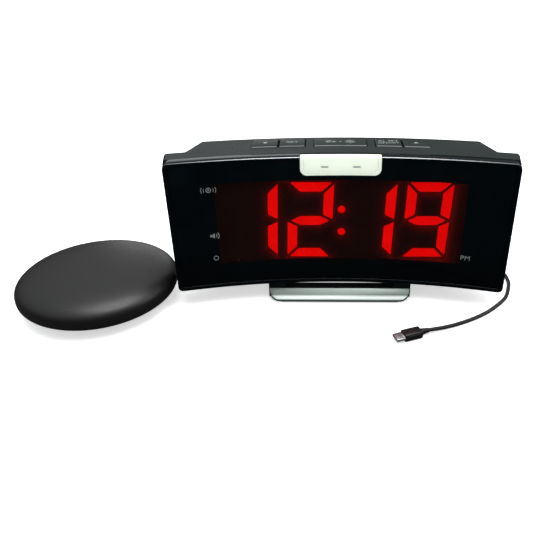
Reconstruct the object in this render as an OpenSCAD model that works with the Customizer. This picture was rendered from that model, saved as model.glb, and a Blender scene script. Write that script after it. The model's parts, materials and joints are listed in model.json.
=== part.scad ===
// Bed shaker alarm clock: a curved clock with a large red display, a flash lamp, five keys,
// a foot, and a charging lead, and beside it the round pad that shakes the bed.
// Millimetres. X is to the right, Y is to the back and Z is up. The origin is on the table,
// under the middle of the face. The face is hollow towards the reader.

/* [Body] */
// Width of the curved face, edge to edge
body_w = 200; // [194:1:230]
// Height of the curved face
body_h = 82.9; // [81:0.1:100]
// Gap between the table and the underside of the body
body_lift = 12.4; // [10:0.1:20]
// Radius of the curved face
face_radius = 382; // [300:1:600]
// Depth of the front bezel, measured back from the face
bezel_depth = 7.7; // [7:0.1:9]
// Depth of the full width part of the body
band_depth = 19; // [17:0.1:21]
// Depth of the whole body
body_depth = 46; // [45:0.5:60]
// Thickness of the housing walls
wall = 2.2; // [1.6:0.1:2.6]
// Radius of the upper corners of the face
corner_top = 3.6; // [3:0.1:8]
// Radius of the lower corners of the face
corner_bottom = 3; // [2:0.1:6]
// Angle at which the sides of the front part open out to the back
side_flare = 11; // [0:0.5:13]
// How much narrower the rear body is than the face, at each side
rear_inset = 4; // [3:0.5:14]
// Angle at which the sides of the rear body draw in
rear_taper = 17; // [5:1:22]
// Radius of the upright corners at the back
rear_corner = 8; // [4:0.5:12]
// Radius of the long edges round the back
back_round = 7; // [3:0.5:10]
// Radius of the long edges of the sides
side_round = 5.5; // [4:0.5:8]
// How far the rear deck lies below the top of the face
deck_drop = 0.8; // [0:0.1:1.5]
// Width of the rim round the front lens
rim_w = 2.6; // [2:0.1:4]
// Width of the ledge that the front lens seats on
ledge_w = 2.2; // [1.5:0.1:4]
// Thickness of the front lens
lens_t = 2; // [1.5:0.1:3]

/* [Display] */
// Height of a digit
digit_h = 49.45; // [40:0.05:50]
// Width of a digit
digit_w = 27.3; // [24:0.1:29]
// Distance between the two digits of a pair
digit_pitch = 33.5; // [32:0.1:36]
// Distance between the two inner digits
inner_pitch = 37.4; // [36:0.1:39]
// Sideways lean of a digit for each millimetre of height
digit_slant = 0.04; // [0:0.01:0.08]
// Width of a segment
segment_w = 5.9; // [4:0.1:7]
// Gap between two segments
segment_gap = 1.7; // [0.8:0.1:2]
// Depth of a segment
segment_d = 2.5; // [1.5:0.1:4]
// Diameter of a colon dot
colon_d = 4.5; // [3:0.1:6]
// Height of each colon dot above or below the middle
colon_rise = 7.4; // [5:0.1:10]
// Border of the display module round the digits
module_border = 4; // [2:0.5:4]
// Depth of the display module
module_d = 8; // [6:0.5:9]
// Thickness of the red film
film_t = 0.6; // [0.3:0.1:1]

/* [Flash lamp] */
// Width of the flash lens
flash_w = 47; // [40:1:60]
// Height of the flash lens
flash_h = 11.4; // [10:0.1:12]
// Radius of the lower corners of the flash lens
flash_corner = 4; // [2:0.5:5]
// Wall thickness of the flash lens
flash_t = 1.6; // [1:0.1:2]
// Depth of the flash lens from front to back
flash_depth = 4.7; // [4:0.1:6]
// Distance between the two flash lamps
flash_pitch = 18.6; // [14:0.2:26]

/* [Keys] */
// Width of a small key
key_w = 15.5; // [12:0.1:16]
// Width of the middle key
middle_key_w = 32; // [26:0.1:34]
// Gap between two neighbouring keys
key_gap = 1; // [0.8:0.1:2]
// Distance from the middle to the pair of keys
key_pair_x = 21.4; // [20:0.1:24]
// Depth of a key from front to back
key_depth = 15.4; // [13:0.1:16]
// Clearance between a key and the deck
key_clear = 0.4; // [0.3:0.05:0.6]
// Height of a key above the top of the face
key_rise = 0.5; // [0:0.1:2]
// Travel of a key
key_travel = 0.7; // [0.4:0.1:0.8]
// Diameter of the stem under a key
key_stem_d = 4; // [3:0.1:5]

/* [Foot] */
// Half width of the foot
foot_half_w = 45.5; // [42:0.5:56]
// Height of the foot's front bar
foot_h = 7.8; // [6.5:0.1:8]
// Width of each side rail of the foot
rail_w = 11; // [9:0.5:14]
// Depth of the foot from front to back
foot_depth = 46; // [42:0.5:56]
// Depth of the front and rear bars
bar_depth = 8; // [6:0.5:9]
// Lean of the silver front, from the table
trim_angle = 48; // [42:1:56]
// Thickness of the silver front
trim_t = 0.9; // [0.6:0.1:1.4]
// Thickness of the rubber pads
rubber_t = 1.6; // [1.2:0.1:2]
// How far the rubber pads stand out
rubber_out = 0.8; // [0.5:0.1:1.1]

/* [Rear] */
// Diameter of the speaker
speaker_d = 36; // [28:1:38]
// Diameter of a grille hole
grille_d = 2; // [1.2:0.1:2.4]
// Distance between grille holes
grille_pitch = 3.6; // [3.2:0.1:5]
// Diameter of a control knob
knob_d = 14; // [10:0.5:16]
// Height of a control knob
knob_h = 6; // [4:0.5:9]
// Diameter of a control knob's shaft
knob_shaft_d = 6; // [4:0.1:6.5]
// Travel of the mode slider
mode_travel = 6; // [4:0.5:7]
// Bore of the power socket
power_bore_d = 6.3; // [5.5:0.1:6.5]
// Bore of the socket for the shaker's lead
shaker_bore_d = 3.6; // [3.5:0.05:4]
// Width of the battery door
door_w = 50; // [48:0.5:52]
// Height of the battery door
door_h = 22; // [21:0.5:23]
// Thickness of the circuit boards
board_t = 1.6; // [1:0.1:2]

/* [Shaker pad] */
// Diameter of the pad
pad_d = 99; // [90:1:102]
// Height of the pad
pad_h = 26.6; // [25:0.1:34]
// Roundness of the pad's section, where 2 is an ellipse
pad_power = 2.5; // [2.2:0.1:3]
// Height of the seam between the pad's shells
pad_seam = 9.5; // [8.6:0.1:10.5]
// Distance of the pad from the middle of the clock
pad_x = -154; // [-190:1:-154]
// Diameter of the shaker motor
motor_d = 17; // [12:0.5:17]
// Length of the shaker motor
motor_l = 26; // [20:0.5:30]
// Radius of the eccentric weight
weight_r = 8; // [6:0.1:8.4]
// Bore of the lead's gland
gland_bore_d = 3.6; // [3:0.1:4.5]

/* [Charging lead] */
// Diameter of the lead
lead_d = 2.4; // [2.2:0.1:2.4]

/* [Hidden] */

// Smoothness of small round things, and of the large arcs of the body
$fn = 48;
ARC_FN = 240;
// A length that reaches past any part of the clock
FAR = 300;
// Small overlap that makes a cut go right through
CUT = 1;
// Clearance of a piece that seats in another, and of a running shaft round its radius
SEAT = 0.1;
RUN = 0.05;

Z_LOW = body_lift;
Z_TOP = body_lift + body_h;
Z_MID = body_lift + body_h / 2;
Z_DECK = Z_TOP - deck_drop;
LENS_SEAT = SEAT + lens_t;
REAR_HALF = body_w / 2 - rear_inset;

// Least radius of an upright corner of the face, and how far the round sides of the body reach past
// its top and underside, which cut them short
SMALL_CORNER = 0.7;
SIDE_OVER = 0.5;

// Y of an arc that is concentric with the face and lies off behind it, at a place across
function arc_y(x, off) = sqrt(pow(face_radius + off, 2) - x * x) - face_radius;
function back_y(x) = arc_y(x, body_depth);
FACE_START = [body_w / 2, arc_y(body_w / 2, 0)];

// Display, from the front: film, module, board
FILM_FRONT = LENS_SEAT + SEAT;
FILM_BACK = FILM_FRONT + film_t;
MODULE_Y = FILM_BACK + 0.6;
DISPLAY_Y = MODULE_Y + module_d;
MODULE_SIDE = 4.5;
MODULE_HALF = inner_pitch / 2 + digit_pitch + digit_w / 2 + module_border + MODULE_SIDE;
MODULE_HALF_H = digit_h / 2 + module_border - 2;
WINDOW_HALF = MODULE_HALF - 1;
WINDOW_HALF_H = MODULE_HALF_H - 1.5;
// How far the film reaches past the window
FILM_EDGE = 1.5;
// The digits and the colon stand a little to the right of the middle
DIGIT_SHIFT = 0.4;
COLON_X = 0.8;
DIGIT_X = [for (x = [-inner_pitch / 2 - digit_pitch, -inner_pitch / 2, inner_pitch / 2,
    inner_pitch / 2 + digit_pitch]) x + DIGIT_SHIFT];
// Segments lit in each digit, for the time twelve nineteen
LIT = ["bc", "abged", "bc", "abcdfg"];
SEGMENTS = "abcdefg";
BOARD_HALF = DIGIT_X[3] + 17.3;
BOARD_LOW = Z_MID - digit_h / 2 - 8.4;
BOARD_HIGH = Z_MID + digit_h / 2 + 8.4;
BOARD_SCREW_X = BOARD_HALF - 4.5;
BOARD_SCREW_Z = [BOARD_LOW + 3, BOARD_HIGH - 3];
MARK_Z = [Z_MID + 24, Z_MID - 5.3, Z_MID - 20];

// Screws, all with round heads
SCREW_D = 2.9;
HEAD_D = 5.4;
HEAD_H = 1.8;
HOLE_D = 3.4;
BOSS_D = 7;
POST_D = 6;
SMALL_D = 2;
SMALL_HEAD_D = 4;
BODY_SCREW_X = body_w / 2 - 26;
BODY_SCREW_Z = [Z_LOW + 6.1, Z_TOP - 7.8];
BOSS_SPLIT = DISPLAY_Y + 2.7;
BODY_HEAD_Y = back_y(BODY_SCREW_X) - 6;

// Flash lamp
FLASH_LOW = Z_TOP - flash_h;
FLASH_BOARD_Y = bezel_depth + 0.5;
FLASH_LED_Z = FLASH_LOW + 5;
FLASH_TRAY = 0.7;
FLASH_TRAY_TOP = Z_TOP - max(wall, flash_t) - SEAT;

// Keys
KEY_FRONT = band_depth + key_clear;
KEY_MID = KEY_FRONT + key_depth / 2;
KEY_TOP = Z_TOP + key_rise;
KEY_LOW = Z_DECK - wall - 1.7;
KEY_FLANGE_T = 1.3;
KEY_X = [-key_pair_x - key_gap - key_w * 1.5, -key_pair_x - key_w / 2, 0,
    key_pair_x + key_w / 2, key_pair_x + key_gap + key_w * 1.5];
SWITCH_TOP = KEY_LOW - 3.2;
SWITCH_H = 3.6;
PLUNGER_H = 0.8;
PLUNGER_GAP = 0.2;
KEY_BOARD_Z = SWITCH_TOP - PLUNGER_H - SWITCH_H;
KEY_BOARD_HALF = KEY_X[4] + key_w / 2 + 9;
KEY_POST_X = KEY_BOARD_HALF - 3.6;
KEY_POST_Y = arc_y(KEY_POST_X, KEY_MID);

// Foot: the silver front leans back over the front bar
FOOT_LOW = rubber_out;
TRIM_Y = -5.8;
TRIM_LOW = 1.2;
TRIM_H = (foot_h - TRIM_LOW) / sin(trim_angle);
TRIM_CORNER = min(8.2, TRIM_H - 0.3);
BAR_TOP = foot_h - trim_t * cos(trim_angle);
RAIL_Y = 1;
FOOT_BACK = TRIM_Y + foot_depth + 2;
FOOT_SCREW_X = foot_half_w - rail_w / 2;
FOOT_SCREW_Y = [19, FOOT_BACK - 8];
FOOT_HEAD_Z = Z_LOW - 5;
FOOT_TIP_Z = Z_LOW + 4.4;

// Rear parts, all set from the back wall
SPEAKER_X = -52;
SPEAKER_Z = Z_MID + 8;
SPEAKER_Y = arc_y(SPEAKER_X - speaker_d / 2 - 2, body_depth - wall) - 2.5;
MAGNET_D = speaker_d * 0.55;
MAIN_Y = back_y(60) - 12;
MAIN_X = [-2, 60];
MAIN_Z = [Z_LOW + 6.6, Z_MID + 26];
MAIN_POST_X = [1.5, 56.5];
MAIN_POST_Z = [Z_MID - 8, Z_MID + 22.5];
CHIP_X = 8;
CHIP_W = 16;
CHIP_T = 2;
POWER_CHIP_X = 38;
CAPACITOR_X = [30, 50];
CAPACITOR_D = 6.3;
SOUNDER_X = 12;
SOUNDER_D = 11;
CONTROL_Z = Z_MID + 10;
VOLUME_X = 46;
TONE_X = 24;
MODE_X = 3;
SOCKET_Z = Z_LOW + 15.6;
POWER_X = 10;
SHAKER_X = 30;
USB_X = 50;
POT_D = 7;
POT_SIZE = 12;
MODE_STEM = 3;
MODE_CAP = 5;
DOOR_X = -32;
DOOR_Z = Z_LOW + 17.5;
DOOR_GAP = 0.35;
TRAY_D = 12;
TRAY_WALL = 1.5;
TRAY_Y = arc_y(DOOR_X - door_w / 2, body_depth - wall) - TRAY_D;

// Shaker pad
PAD_Y = -2;
PAD_LOW = 0.5;
PAD_A = pad_d / 2;
PAD_B = (pad_h - PAD_LOW) / 2;
PAD_MID = PAD_LOW + PAD_B;
PAD_STEPS = 24;
PAD_BASE_D = 40;
PAD_BASE_SINK = 0.9;
MOTOR_Z = PAD_MID;
MOTOR_X = pad_x - 19;
SHAFT_D = 2;
WEIGHT_T = 8;
WEIGHT_GAP = 1.5;
PAD_SCREW_R = PAD_A - 13;
// Height of the pad's outer surface at a distance from its middle, and half way into its wall
function pad_under(r) = PAD_MID - PAD_B * pow(1 - pow(r / PAD_A, pad_power), 1 / pad_power);
PAD_FLOOR = PAD_LOW + wall * 0.7;
PAD_HEAD_Z = pad_under(PAD_SCREW_R) + wall;
PAD_POST_TOP = pad_h - (pad_under(PAD_SCREW_R) - PAD_LOW) - wall / 2;
GLAND_W = 9;
CLAMP_W = 12;
CLAMP_T = 1.6;

// Charging lead: the plug in the clock's socket, the fall to the table, the coil, and the run
// round the right side of the clock to the connector in front
LEAD_R = lead_d / 2;
LEAD_Z = 1.3;
PLUG_W = 15.5;
PLUG_Y = back_y(USB_X - PLUG_W / 2) + 0.4;
PLUG_L = 17;
RELIEF_L = 8;
PLUG_END = PLUG_Y + PLUG_L + RELIEF_L;
COIL_R_OUT = 19.6;
COIL_STEP = 2.9;
COIL_TURNS = 8.5;
COIL_Z = 2.3;
COIL_X = USB_X + COIL_R_OUT;
COIL_Y = 104;
COIL_RINGS = 24;
COIL_SIDES = 6;
TIE_W = 4;
TIE_T = 0.7;
TIE_GAP = 0.3;
START_ROUTE = [[USB_X, PLUG_END, SOCKET_Z], [USB_X, PLUG_END + 5, SOCKET_Z - 0.5],
    [USB_X, 78, 23], [USB_X, 83, 14.5], [USB_X, 88, 6.5], [USB_X, 94, 2.8],
    [USB_X, COIL_Y - 5, COIL_Z], [USB_X, COIL_Y - lead_d, COIL_Z]];
RUN_ROUTE = [[89.2, 101.6, 5.2], [89.2, 96, 5.2], [89.4, 90, 4.8], [90, 82, 2.6],
    [91.2, 74, 1.4], [93.5, 65, 1.3], [97.8, 56, 1.3], [103.5, 47, 1.3], [109.5, 38.5, 1.3],
    [113.5, 30, 1.3], [113.8, 20, 1.3], [111.8, 12, 1.3], [107.5, 1, 1.3], [102, -6.5, 1.3],
    [95, -14, 1.3], [88, -20, 1.3], [79, -26, 1.3], [70, -30.8, 1.3], [62, -34.4, 1.6],
    [56.2, -36.9, 2.2], [52, -38.6, 2.6]];
RUN_END = RUN_ROUTE[len(RUN_ROUTE) - 1];
RUN_LAST = RUN_ROUTE[len(RUN_ROUTE) - 2];
CONNECTOR_TURN = atan2(RUN_END.y - RUN_LAST.y, RUN_END.x - RUN_LAST.x);

// General shapes

// Plate outline with its own upper and lower corner radii, from low to high
module plate_outline(w, low, high, r_top, r_low) {
    translate([-w / 2, low + r_low]) square([w, high - low - r_top - r_low]);
    translate([-w / 2 + r_low, low]) square([w - 2 * r_low, high - low - r_top]);
    translate([-w / 2 + r_top, low + r_low]) square([w - 2 * r_top, high - low - r_low]);
    for (side = [-1, 1]) {
        translate([side * (w / 2 - r_top), high - r_top]) circle(r = r_top);
        translate([side * (w / 2 - r_low), low + r_low]) circle(r = r_low);
    }
}

// The same outline made solid from one depth to another
module plate(w, low, high, r_top, r_low, y0, y1) {
    translate([0, y1, 0]) rotate([90, 0, 0]) linear_extrude(y1 - y0)
        plate_outline(w, low, high, r_top, r_low);
}

// Box from one corner to the other
module block(a, b) {
    translate(a) cube(b - a);
}

// Round bar along Y
module rod_y(x, z, d, y0, y1) {
    translate([x, y0, z]) rotate([-90, 0, 0]) cylinder(d = d, h = y1 - y0);
}

// Round bar upwards
module rod_z(x, y, d, z0, z1) {
    translate([x, y, z0]) cylinder(d = d, h = z1 - z0);
}

// Curved wall between two arcs concentric with the face
module arc_wall(off0, off1) {
    translate([0, -face_radius, Z_LOW - 5]) difference() {
        cylinder(r = face_radius + off1, h = body_h + 10, $fn = ARC_FN);
        translate([0, 0, -CUT])
            cylinder(r = face_radius + off0, h = body_h + 10 + 2 * CUT, $fn = ARC_FN);
    }
}

// Block that reaches past the other side, with its right side on a slanting plane and its corners round
module side_block(start, turn, inset, high, r_top, r_low) {
    translate([start.x, start.y, 0]) rotate([0, 0, turn])
        translate([-FAR / 2 - inset, 0, 0])
            plate(FAR, Z_LOW + inset - SIDE_OVER, high - inset + SIDE_OVER, r_top, r_low, -70, 80);
}

// The face's outline drawn in by an inset, for the bezel and the full width part
module face_block(inset) {
    r_top = max(corner_top - inset, SMALL_CORNER);
    r_low = max(corner_bottom - inset, SMALL_CORNER);
    intersection() {
        side_block(FACE_START, -side_flare, inset, Z_TOP, r_top, r_low);
        mirror([1, 0, 0]) side_block(FACE_START, -side_flare, inset, Z_TOP, r_top, r_low);
        block([-FAR, -FAR, Z_LOW + inset], [FAR, FAR, Z_TOP - inset]);
    }
}

// Notch for the flash lens
module flash_block(gap, y1) {
    plate(flash_w + 2 * gap, FLASH_LOW - gap, Z_TOP + 5, 0.5, flash_corner + gap, -20, y1);
}

// Round headed screw along Y, its head at the back
module screw_y(x, z, d, head, y_tip, y_head) {
    rod_y(x, z, d, y_tip, y_head);
    rod_y(x, z, head, y_head, y_head + HEAD_H);
}

// Round headed screw along Y, its head at the front
module screw_front(x, z, y_head, y_tip) {
    rod_y(x, z, SMALL_D, y_head, y_tip);
    rod_y(x, z, SMALL_HEAD_D, y_head - 1.2, y_head);
}

// Front

module front_bezel() color("#0c1012") difference() {
    union() {
        difference() {
            intersection() {
                arc_wall(0, bezel_depth);
                face_block(0);
            }
            intersection() {
                arc_wall(-20, LENS_SEAT);
                face_block(rim_w);
            }
            intersection() {
                arc_wall(-20, bezel_depth + 5);
                face_block(rim_w + ledge_w);
            }
            difference() {
                flash_block(SEAT, 20);
                intersection() {
                    arc_wall(flash_depth + SEAT, FAR);
                    block([-flash_w, -FAR, FLASH_TRAY_TOP + SEAT], [flash_w, FAR, FAR]);
                }
            }
        }
        intersection() {
            arc_wall(LENS_SEAT, FAR);
            face_block(rim_w);
            union() for (side = [-1, 1], z = BODY_SCREW_Z)
                rod_y(side * BODY_SCREW_X, z, BOSS_D, -30, BOSS_SPLIT);
        }
    }
    for (side = [-1, 1], z = BODY_SCREW_Z)
        rod_y(side * BODY_SCREW_X, z, SCREW_D, BOSS_SPLIT - 9, BOSS_SPLIT + CUT);
}

module face_lens() color("#0a0d0f") difference() {
    intersection() {
        arc_wall(SEAT, LENS_SEAT);
        face_block(rim_w + SEAT);
    }
    flash_block(SEAT, 20);
}

module red_filter() color("#3a0a0a") intersection() {
    arc_wall(FILM_FRONT, FILM_BACK);
    plate(2 * (WINDOW_HALF + FILM_EDGE), Z_MID - WINDOW_HALF_H - FILM_EDGE,
        Z_MID + WINDOW_HALF_H + FILM_EDGE, 1, 1, -40, 10);
}

// Corner points of one segment, in a digit whose lower left corner is the origin
function segment_points(name) =
    let (w = digit_w, h = digit_h, t = segment_w, m = h / 2,
        c = segment_gap / sqrt(2), s = segment_gap * 0.56, e = segment_gap * 1.12)
    name == "a" ? [[c, h], [w - c, h], [w - t - c, h - t], [t + c, h - t]] :
    name == "d" ? [[c, 0], [w - c, 0], [w - t - c, t], [t + c, t]] :
    name == "f" ? [[0, h - c], [t, h - t - c], [t, m + t / 2 + s], [0, m + s]] :
    name == "b" ? [[w, h - c], [w - t, h - t - c], [w - t, m + t / 2 + s], [w, m + s]] :
    name == "e" ? [[0, c], [t, t + c], [t, m - t / 2 - s], [0, m - s]] :
    name == "c" ? [[w, c], [w - t, t + c], [w - t, m - t / 2 - s], [w, m - s]] :
    [[e, m], [t + e, m + t / 2], [w - t - e, m + t / 2], [w - e, m], [w - t - e, m - t / 2],
        [t + e, m - t / 2]];

// The same point leaned over and placed in the window
function lean(p, x) = [x - digit_w / 2 + p.x + digit_slant * (p.y - digit_h / 2),
    Z_MID - digit_h / 2 + p.y];

// One segment from the module's face to a depth
module segment(digit, name, y0, y1) {
    translate([0, y1, 0]) rotate([90, 0, 0]) linear_extrude(y1 - y0)
        polygon([for (p = segment_points(name)) lean(p, DIGIT_X[digit])]);
}

// All segments that are lit, or all that are dark
module segments(want_lit, y0, y1) {
    for (digit = [0:3], name = SEGMENTS)
        if ((len(search(name, LIT[digit])) > 0) == want_lit) segment(digit, name, y0, y1);
}

module colon(y0, y1) {
    for (side = [-1, 1]) rod_y(COLON_X, Z_MID + side * colon_rise, colon_d, y0, y1);
}

module led_module() color("#17110f") difference() {
    block([-MODULE_HALF, MODULE_Y, Z_MID - MODULE_HALF_H],
        [MODULE_HALF, DISPLAY_Y, Z_MID + MODULE_HALF_H]);
    segments(true, MODULE_Y - CUT, MODULE_Y + segment_d);
    segments(false, MODULE_Y - CUT, MODULE_Y + segment_d);
    colon(MODULE_Y - CUT, MODULE_Y + segment_d);
}

module lit_segments() color("#ff1400") segments(true, MODULE_Y, MODULE_Y + segment_d);

module dark_segments() color("#2a1412") segments(false, MODULE_Y, MODULE_Y + segment_d);

module colon_dots() color("#ff1400") colon(MODULE_Y, MODULE_Y + segment_d);

module display_board() color("#1d5b33") difference() {
    block([-BOARD_HALF, DISPLAY_Y, BOARD_LOW], [BOARD_HALF, DISPLAY_Y + board_t, BOARD_HIGH]);
    for (side = [-1, 1], z = BOARD_SCREW_Z)
        rod_y(side * BOARD_SCREW_X, z, SMALL_D, DISPLAY_Y - CUT, DISPLAY_Y + board_t + CUT);
}

// Small lamps behind the marks at the sides of the window, each on a stalk from the module
module indicator_leds() color("#f0e8e0") for (i = [0:3]) {
    x = i < 3 ? -MODULE_HALF : MODULE_HALF - 1;
    z = i < 3 ? MARK_Z[i] : MARK_Z[2];
    block([x + (i < 3 ? -3 : 1), MODULE_Y, z - 1.5], [x + (i < 3 ? 0 : 4), DISPLAY_Y, z + 1.5]);
}

// Flash lamp

module flash_lens() color("#eef4ea") intersection() {
    difference() {
        arc_wall(0, flash_depth);
        intersection() {
            arc_wall(flash_t, bezel_depth + 5);
            plate(flash_w - 2 * flash_t, FLASH_LOW + flash_t, Z_TOP - flash_t, 0.5,
                flash_corner - flash_t, -20, 20);
        }
    }
    plate(flash_w, FLASH_LOW, Z_TOP, 0.5, flash_corner, -20, 20);
}

module flash_reflector() color("#d9dedb") difference() {
    intersection() {
        arc_wall(flash_t + 0.4, FAR);
        plate(flash_w - 2 * flash_t - 2 * SEAT, FLASH_LOW + flash_t + SEAT, FLASH_TRAY_TOP, 0.5,
            flash_corner - flash_t, -20, FLASH_BOARD_Y);
    }
    plate(flash_w - 2 * flash_t - 2 * FLASH_TRAY, FLASH_LOW + flash_t + FLASH_TRAY,
        FLASH_TRAY_TOP - FLASH_TRAY, 0.5, flash_corner - flash_t - 0.5, -20,
        FLASH_BOARD_Y - FLASH_TRAY);
    for (side = [-1, 1]) flash_led(side, 0.3);
}

// One flash lamp, with a clearance round it
module flash_led(side, gap) {
    x = side * flash_pitch / 2;
    block([x - 2.3 - gap, FLASH_BOARD_Y - 1.8 - gap, FLASH_LED_Z - 0.7 - gap],
        [x + 2.3 + gap, FLASH_BOARD_Y + gap, FLASH_LED_Z + 0.7 + gap]);
}

module flash_leds() color("#b9bfae") for (side = [-1, 1]) flash_led(side, 0);

module flash_board() color("#1d5b33")
    block([-flash_w / 2 + 1, FLASH_BOARD_Y, FLASH_LOW + flash_t],
        [flash_w / 2 - 1, FLASH_BOARD_Y + board_t, Z_TOP - wall - 2 * SEAT]);

// Rear housing

// Centre of an upright back corner, from the slope of the side and the arc of the back
REAR_START = [REAR_HALF, arc_y(REAR_HALF, band_depth)];
CORNER_BASE = REAR_START - rear_corner * [cos(rear_taper), sin(rear_taper)] + [0, face_radius];
CORNER_ALONG = CORNER_BASE * [-sin(rear_taper), cos(rear_taper)];
CORNER_S = sqrt(pow(CORNER_ALONG, 2) - CORNER_BASE * CORNER_BASE
    + pow(face_radius + body_depth - rear_corner, 2)) - CORNER_ALONG;
CORNER_C = CORNER_BASE - [0, face_radius] + CORNER_S * [-sin(rear_taper), cos(rear_taper)];
CORNER_TURN = atan2(CORNER_C.y + face_radius, CORNER_C.x);
CORNER_STEPS = 8;

// Right half of the rear body's plan, drawn in by an inset
function rear_plan(inset) =
    let (r = rear_corner - inset, along = [-sin(rear_taper), cos(rear_taper)],
        side = CORNER_C + r * [cos(rear_taper), sin(rear_taper)],
        back = CORNER_C + r * [cos(CORNER_TURN), sin(CORNER_TURN)])
    concat([side - 80 * along + 8 * [cos(rear_taper), sin(rear_taper)]],
        [for (i = [0:CORNER_STEPS]) let (a = rear_taper + (CORNER_TURN - rear_taper) * i / CORNER_STEPS)
            CORNER_C + r * [cos(a), sin(a)]],
        [back + back.x / sin(CORNER_TURN) * [-sin(CORNER_TURN), cos(CORNER_TURN)]]);

// Section of the rear body, swept round the centre of the face
module rear_section(inset) {
    r = back_round - inset;
    out = face_radius + body_depth - inset;
    low = Z_LOW + inset;
    high = Z_DECK - inset;
    in = face_radius + band_depth - 4 - inset;
    translate([in, low]) square([out - r - in, high - low]);
    translate([in, low + r]) square([out - in, high - low - 2 * r]);
    for (z = [low + r, high - r]) translate([out - r, z]) circle(r = r);
}

// Side of the rear body with round long edges
module rear_side(inset) {
    side_block(REAR_START, rear_taper, inset, Z_DECK, side_round - inset, side_round - inset);
}

module rear_form(inset) {
    half = rear_plan(inset);
    intersection() {
        translate([0, -face_radius, 0]) rotate([0, 0, 60]) rotate_extrude(angle = 60, $fn = ARC_FN)
            rear_section(inset);
        rear_side(inset);
        mirror([1, 0, 0]) rear_side(inset);
        translate([0, 0, -CUT]) linear_extrude(Z_TOP + 2 * CUT)
            polygon(concat(half, [for (i = [len(half) - 2:-1:0]) [-half[i].x, half[i].y]]));
    }
}

// Openings for one group of keys, from a left edge to a right edge
module key_hole(left, right) {
    intersection() {
        arc_wall(band_depth, band_depth + key_depth + 2 * key_clear);
        block([left, -20, Z_DECK - wall - CUT], [right, 80, Z_TOP + CUT]);
    }
}

// Grille holes in rings round the speaker's middle
module grille() {
    rings = floor((speaker_d / 2 - 2) / grille_pitch);
    rod_y(SPEAKER_X, SPEAKER_Z, grille_d, SPEAKER_Y, back_y(0) + 5);
    for (ring = [1:rings], i = [0:6 * ring - 1])
        rod_y(SPEAKER_X + ring * grille_pitch * cos(60 * i / ring),
            SPEAKER_Z + ring * grille_pitch * sin(60 * i / ring), grille_d, SPEAKER_Y, back_y(0) + 5);
}

// The battery pocket, with its mouth in the back wall
module battery_pocket(grow) {
    block([DOOR_X - door_w / 2 - grow, TRAY_Y - grow, DOOR_Z - door_h / 2 - grow],
        [DOOR_X + door_w / 2 + grow, back_y(0) + 5, DOOR_Z + door_h / 2 + grow]);
}

module housing_shell() {
    difference() {
        union() {
            intersection() {
                arc_wall(bezel_depth, band_depth);
                face_block(0);
            }
            rear_form(0);
        }
        intersection() {
            arc_wall(bezel_depth - CUT, band_depth - wall);
            face_block(wall);
        }
        rear_form(wall);
    }
}

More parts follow.
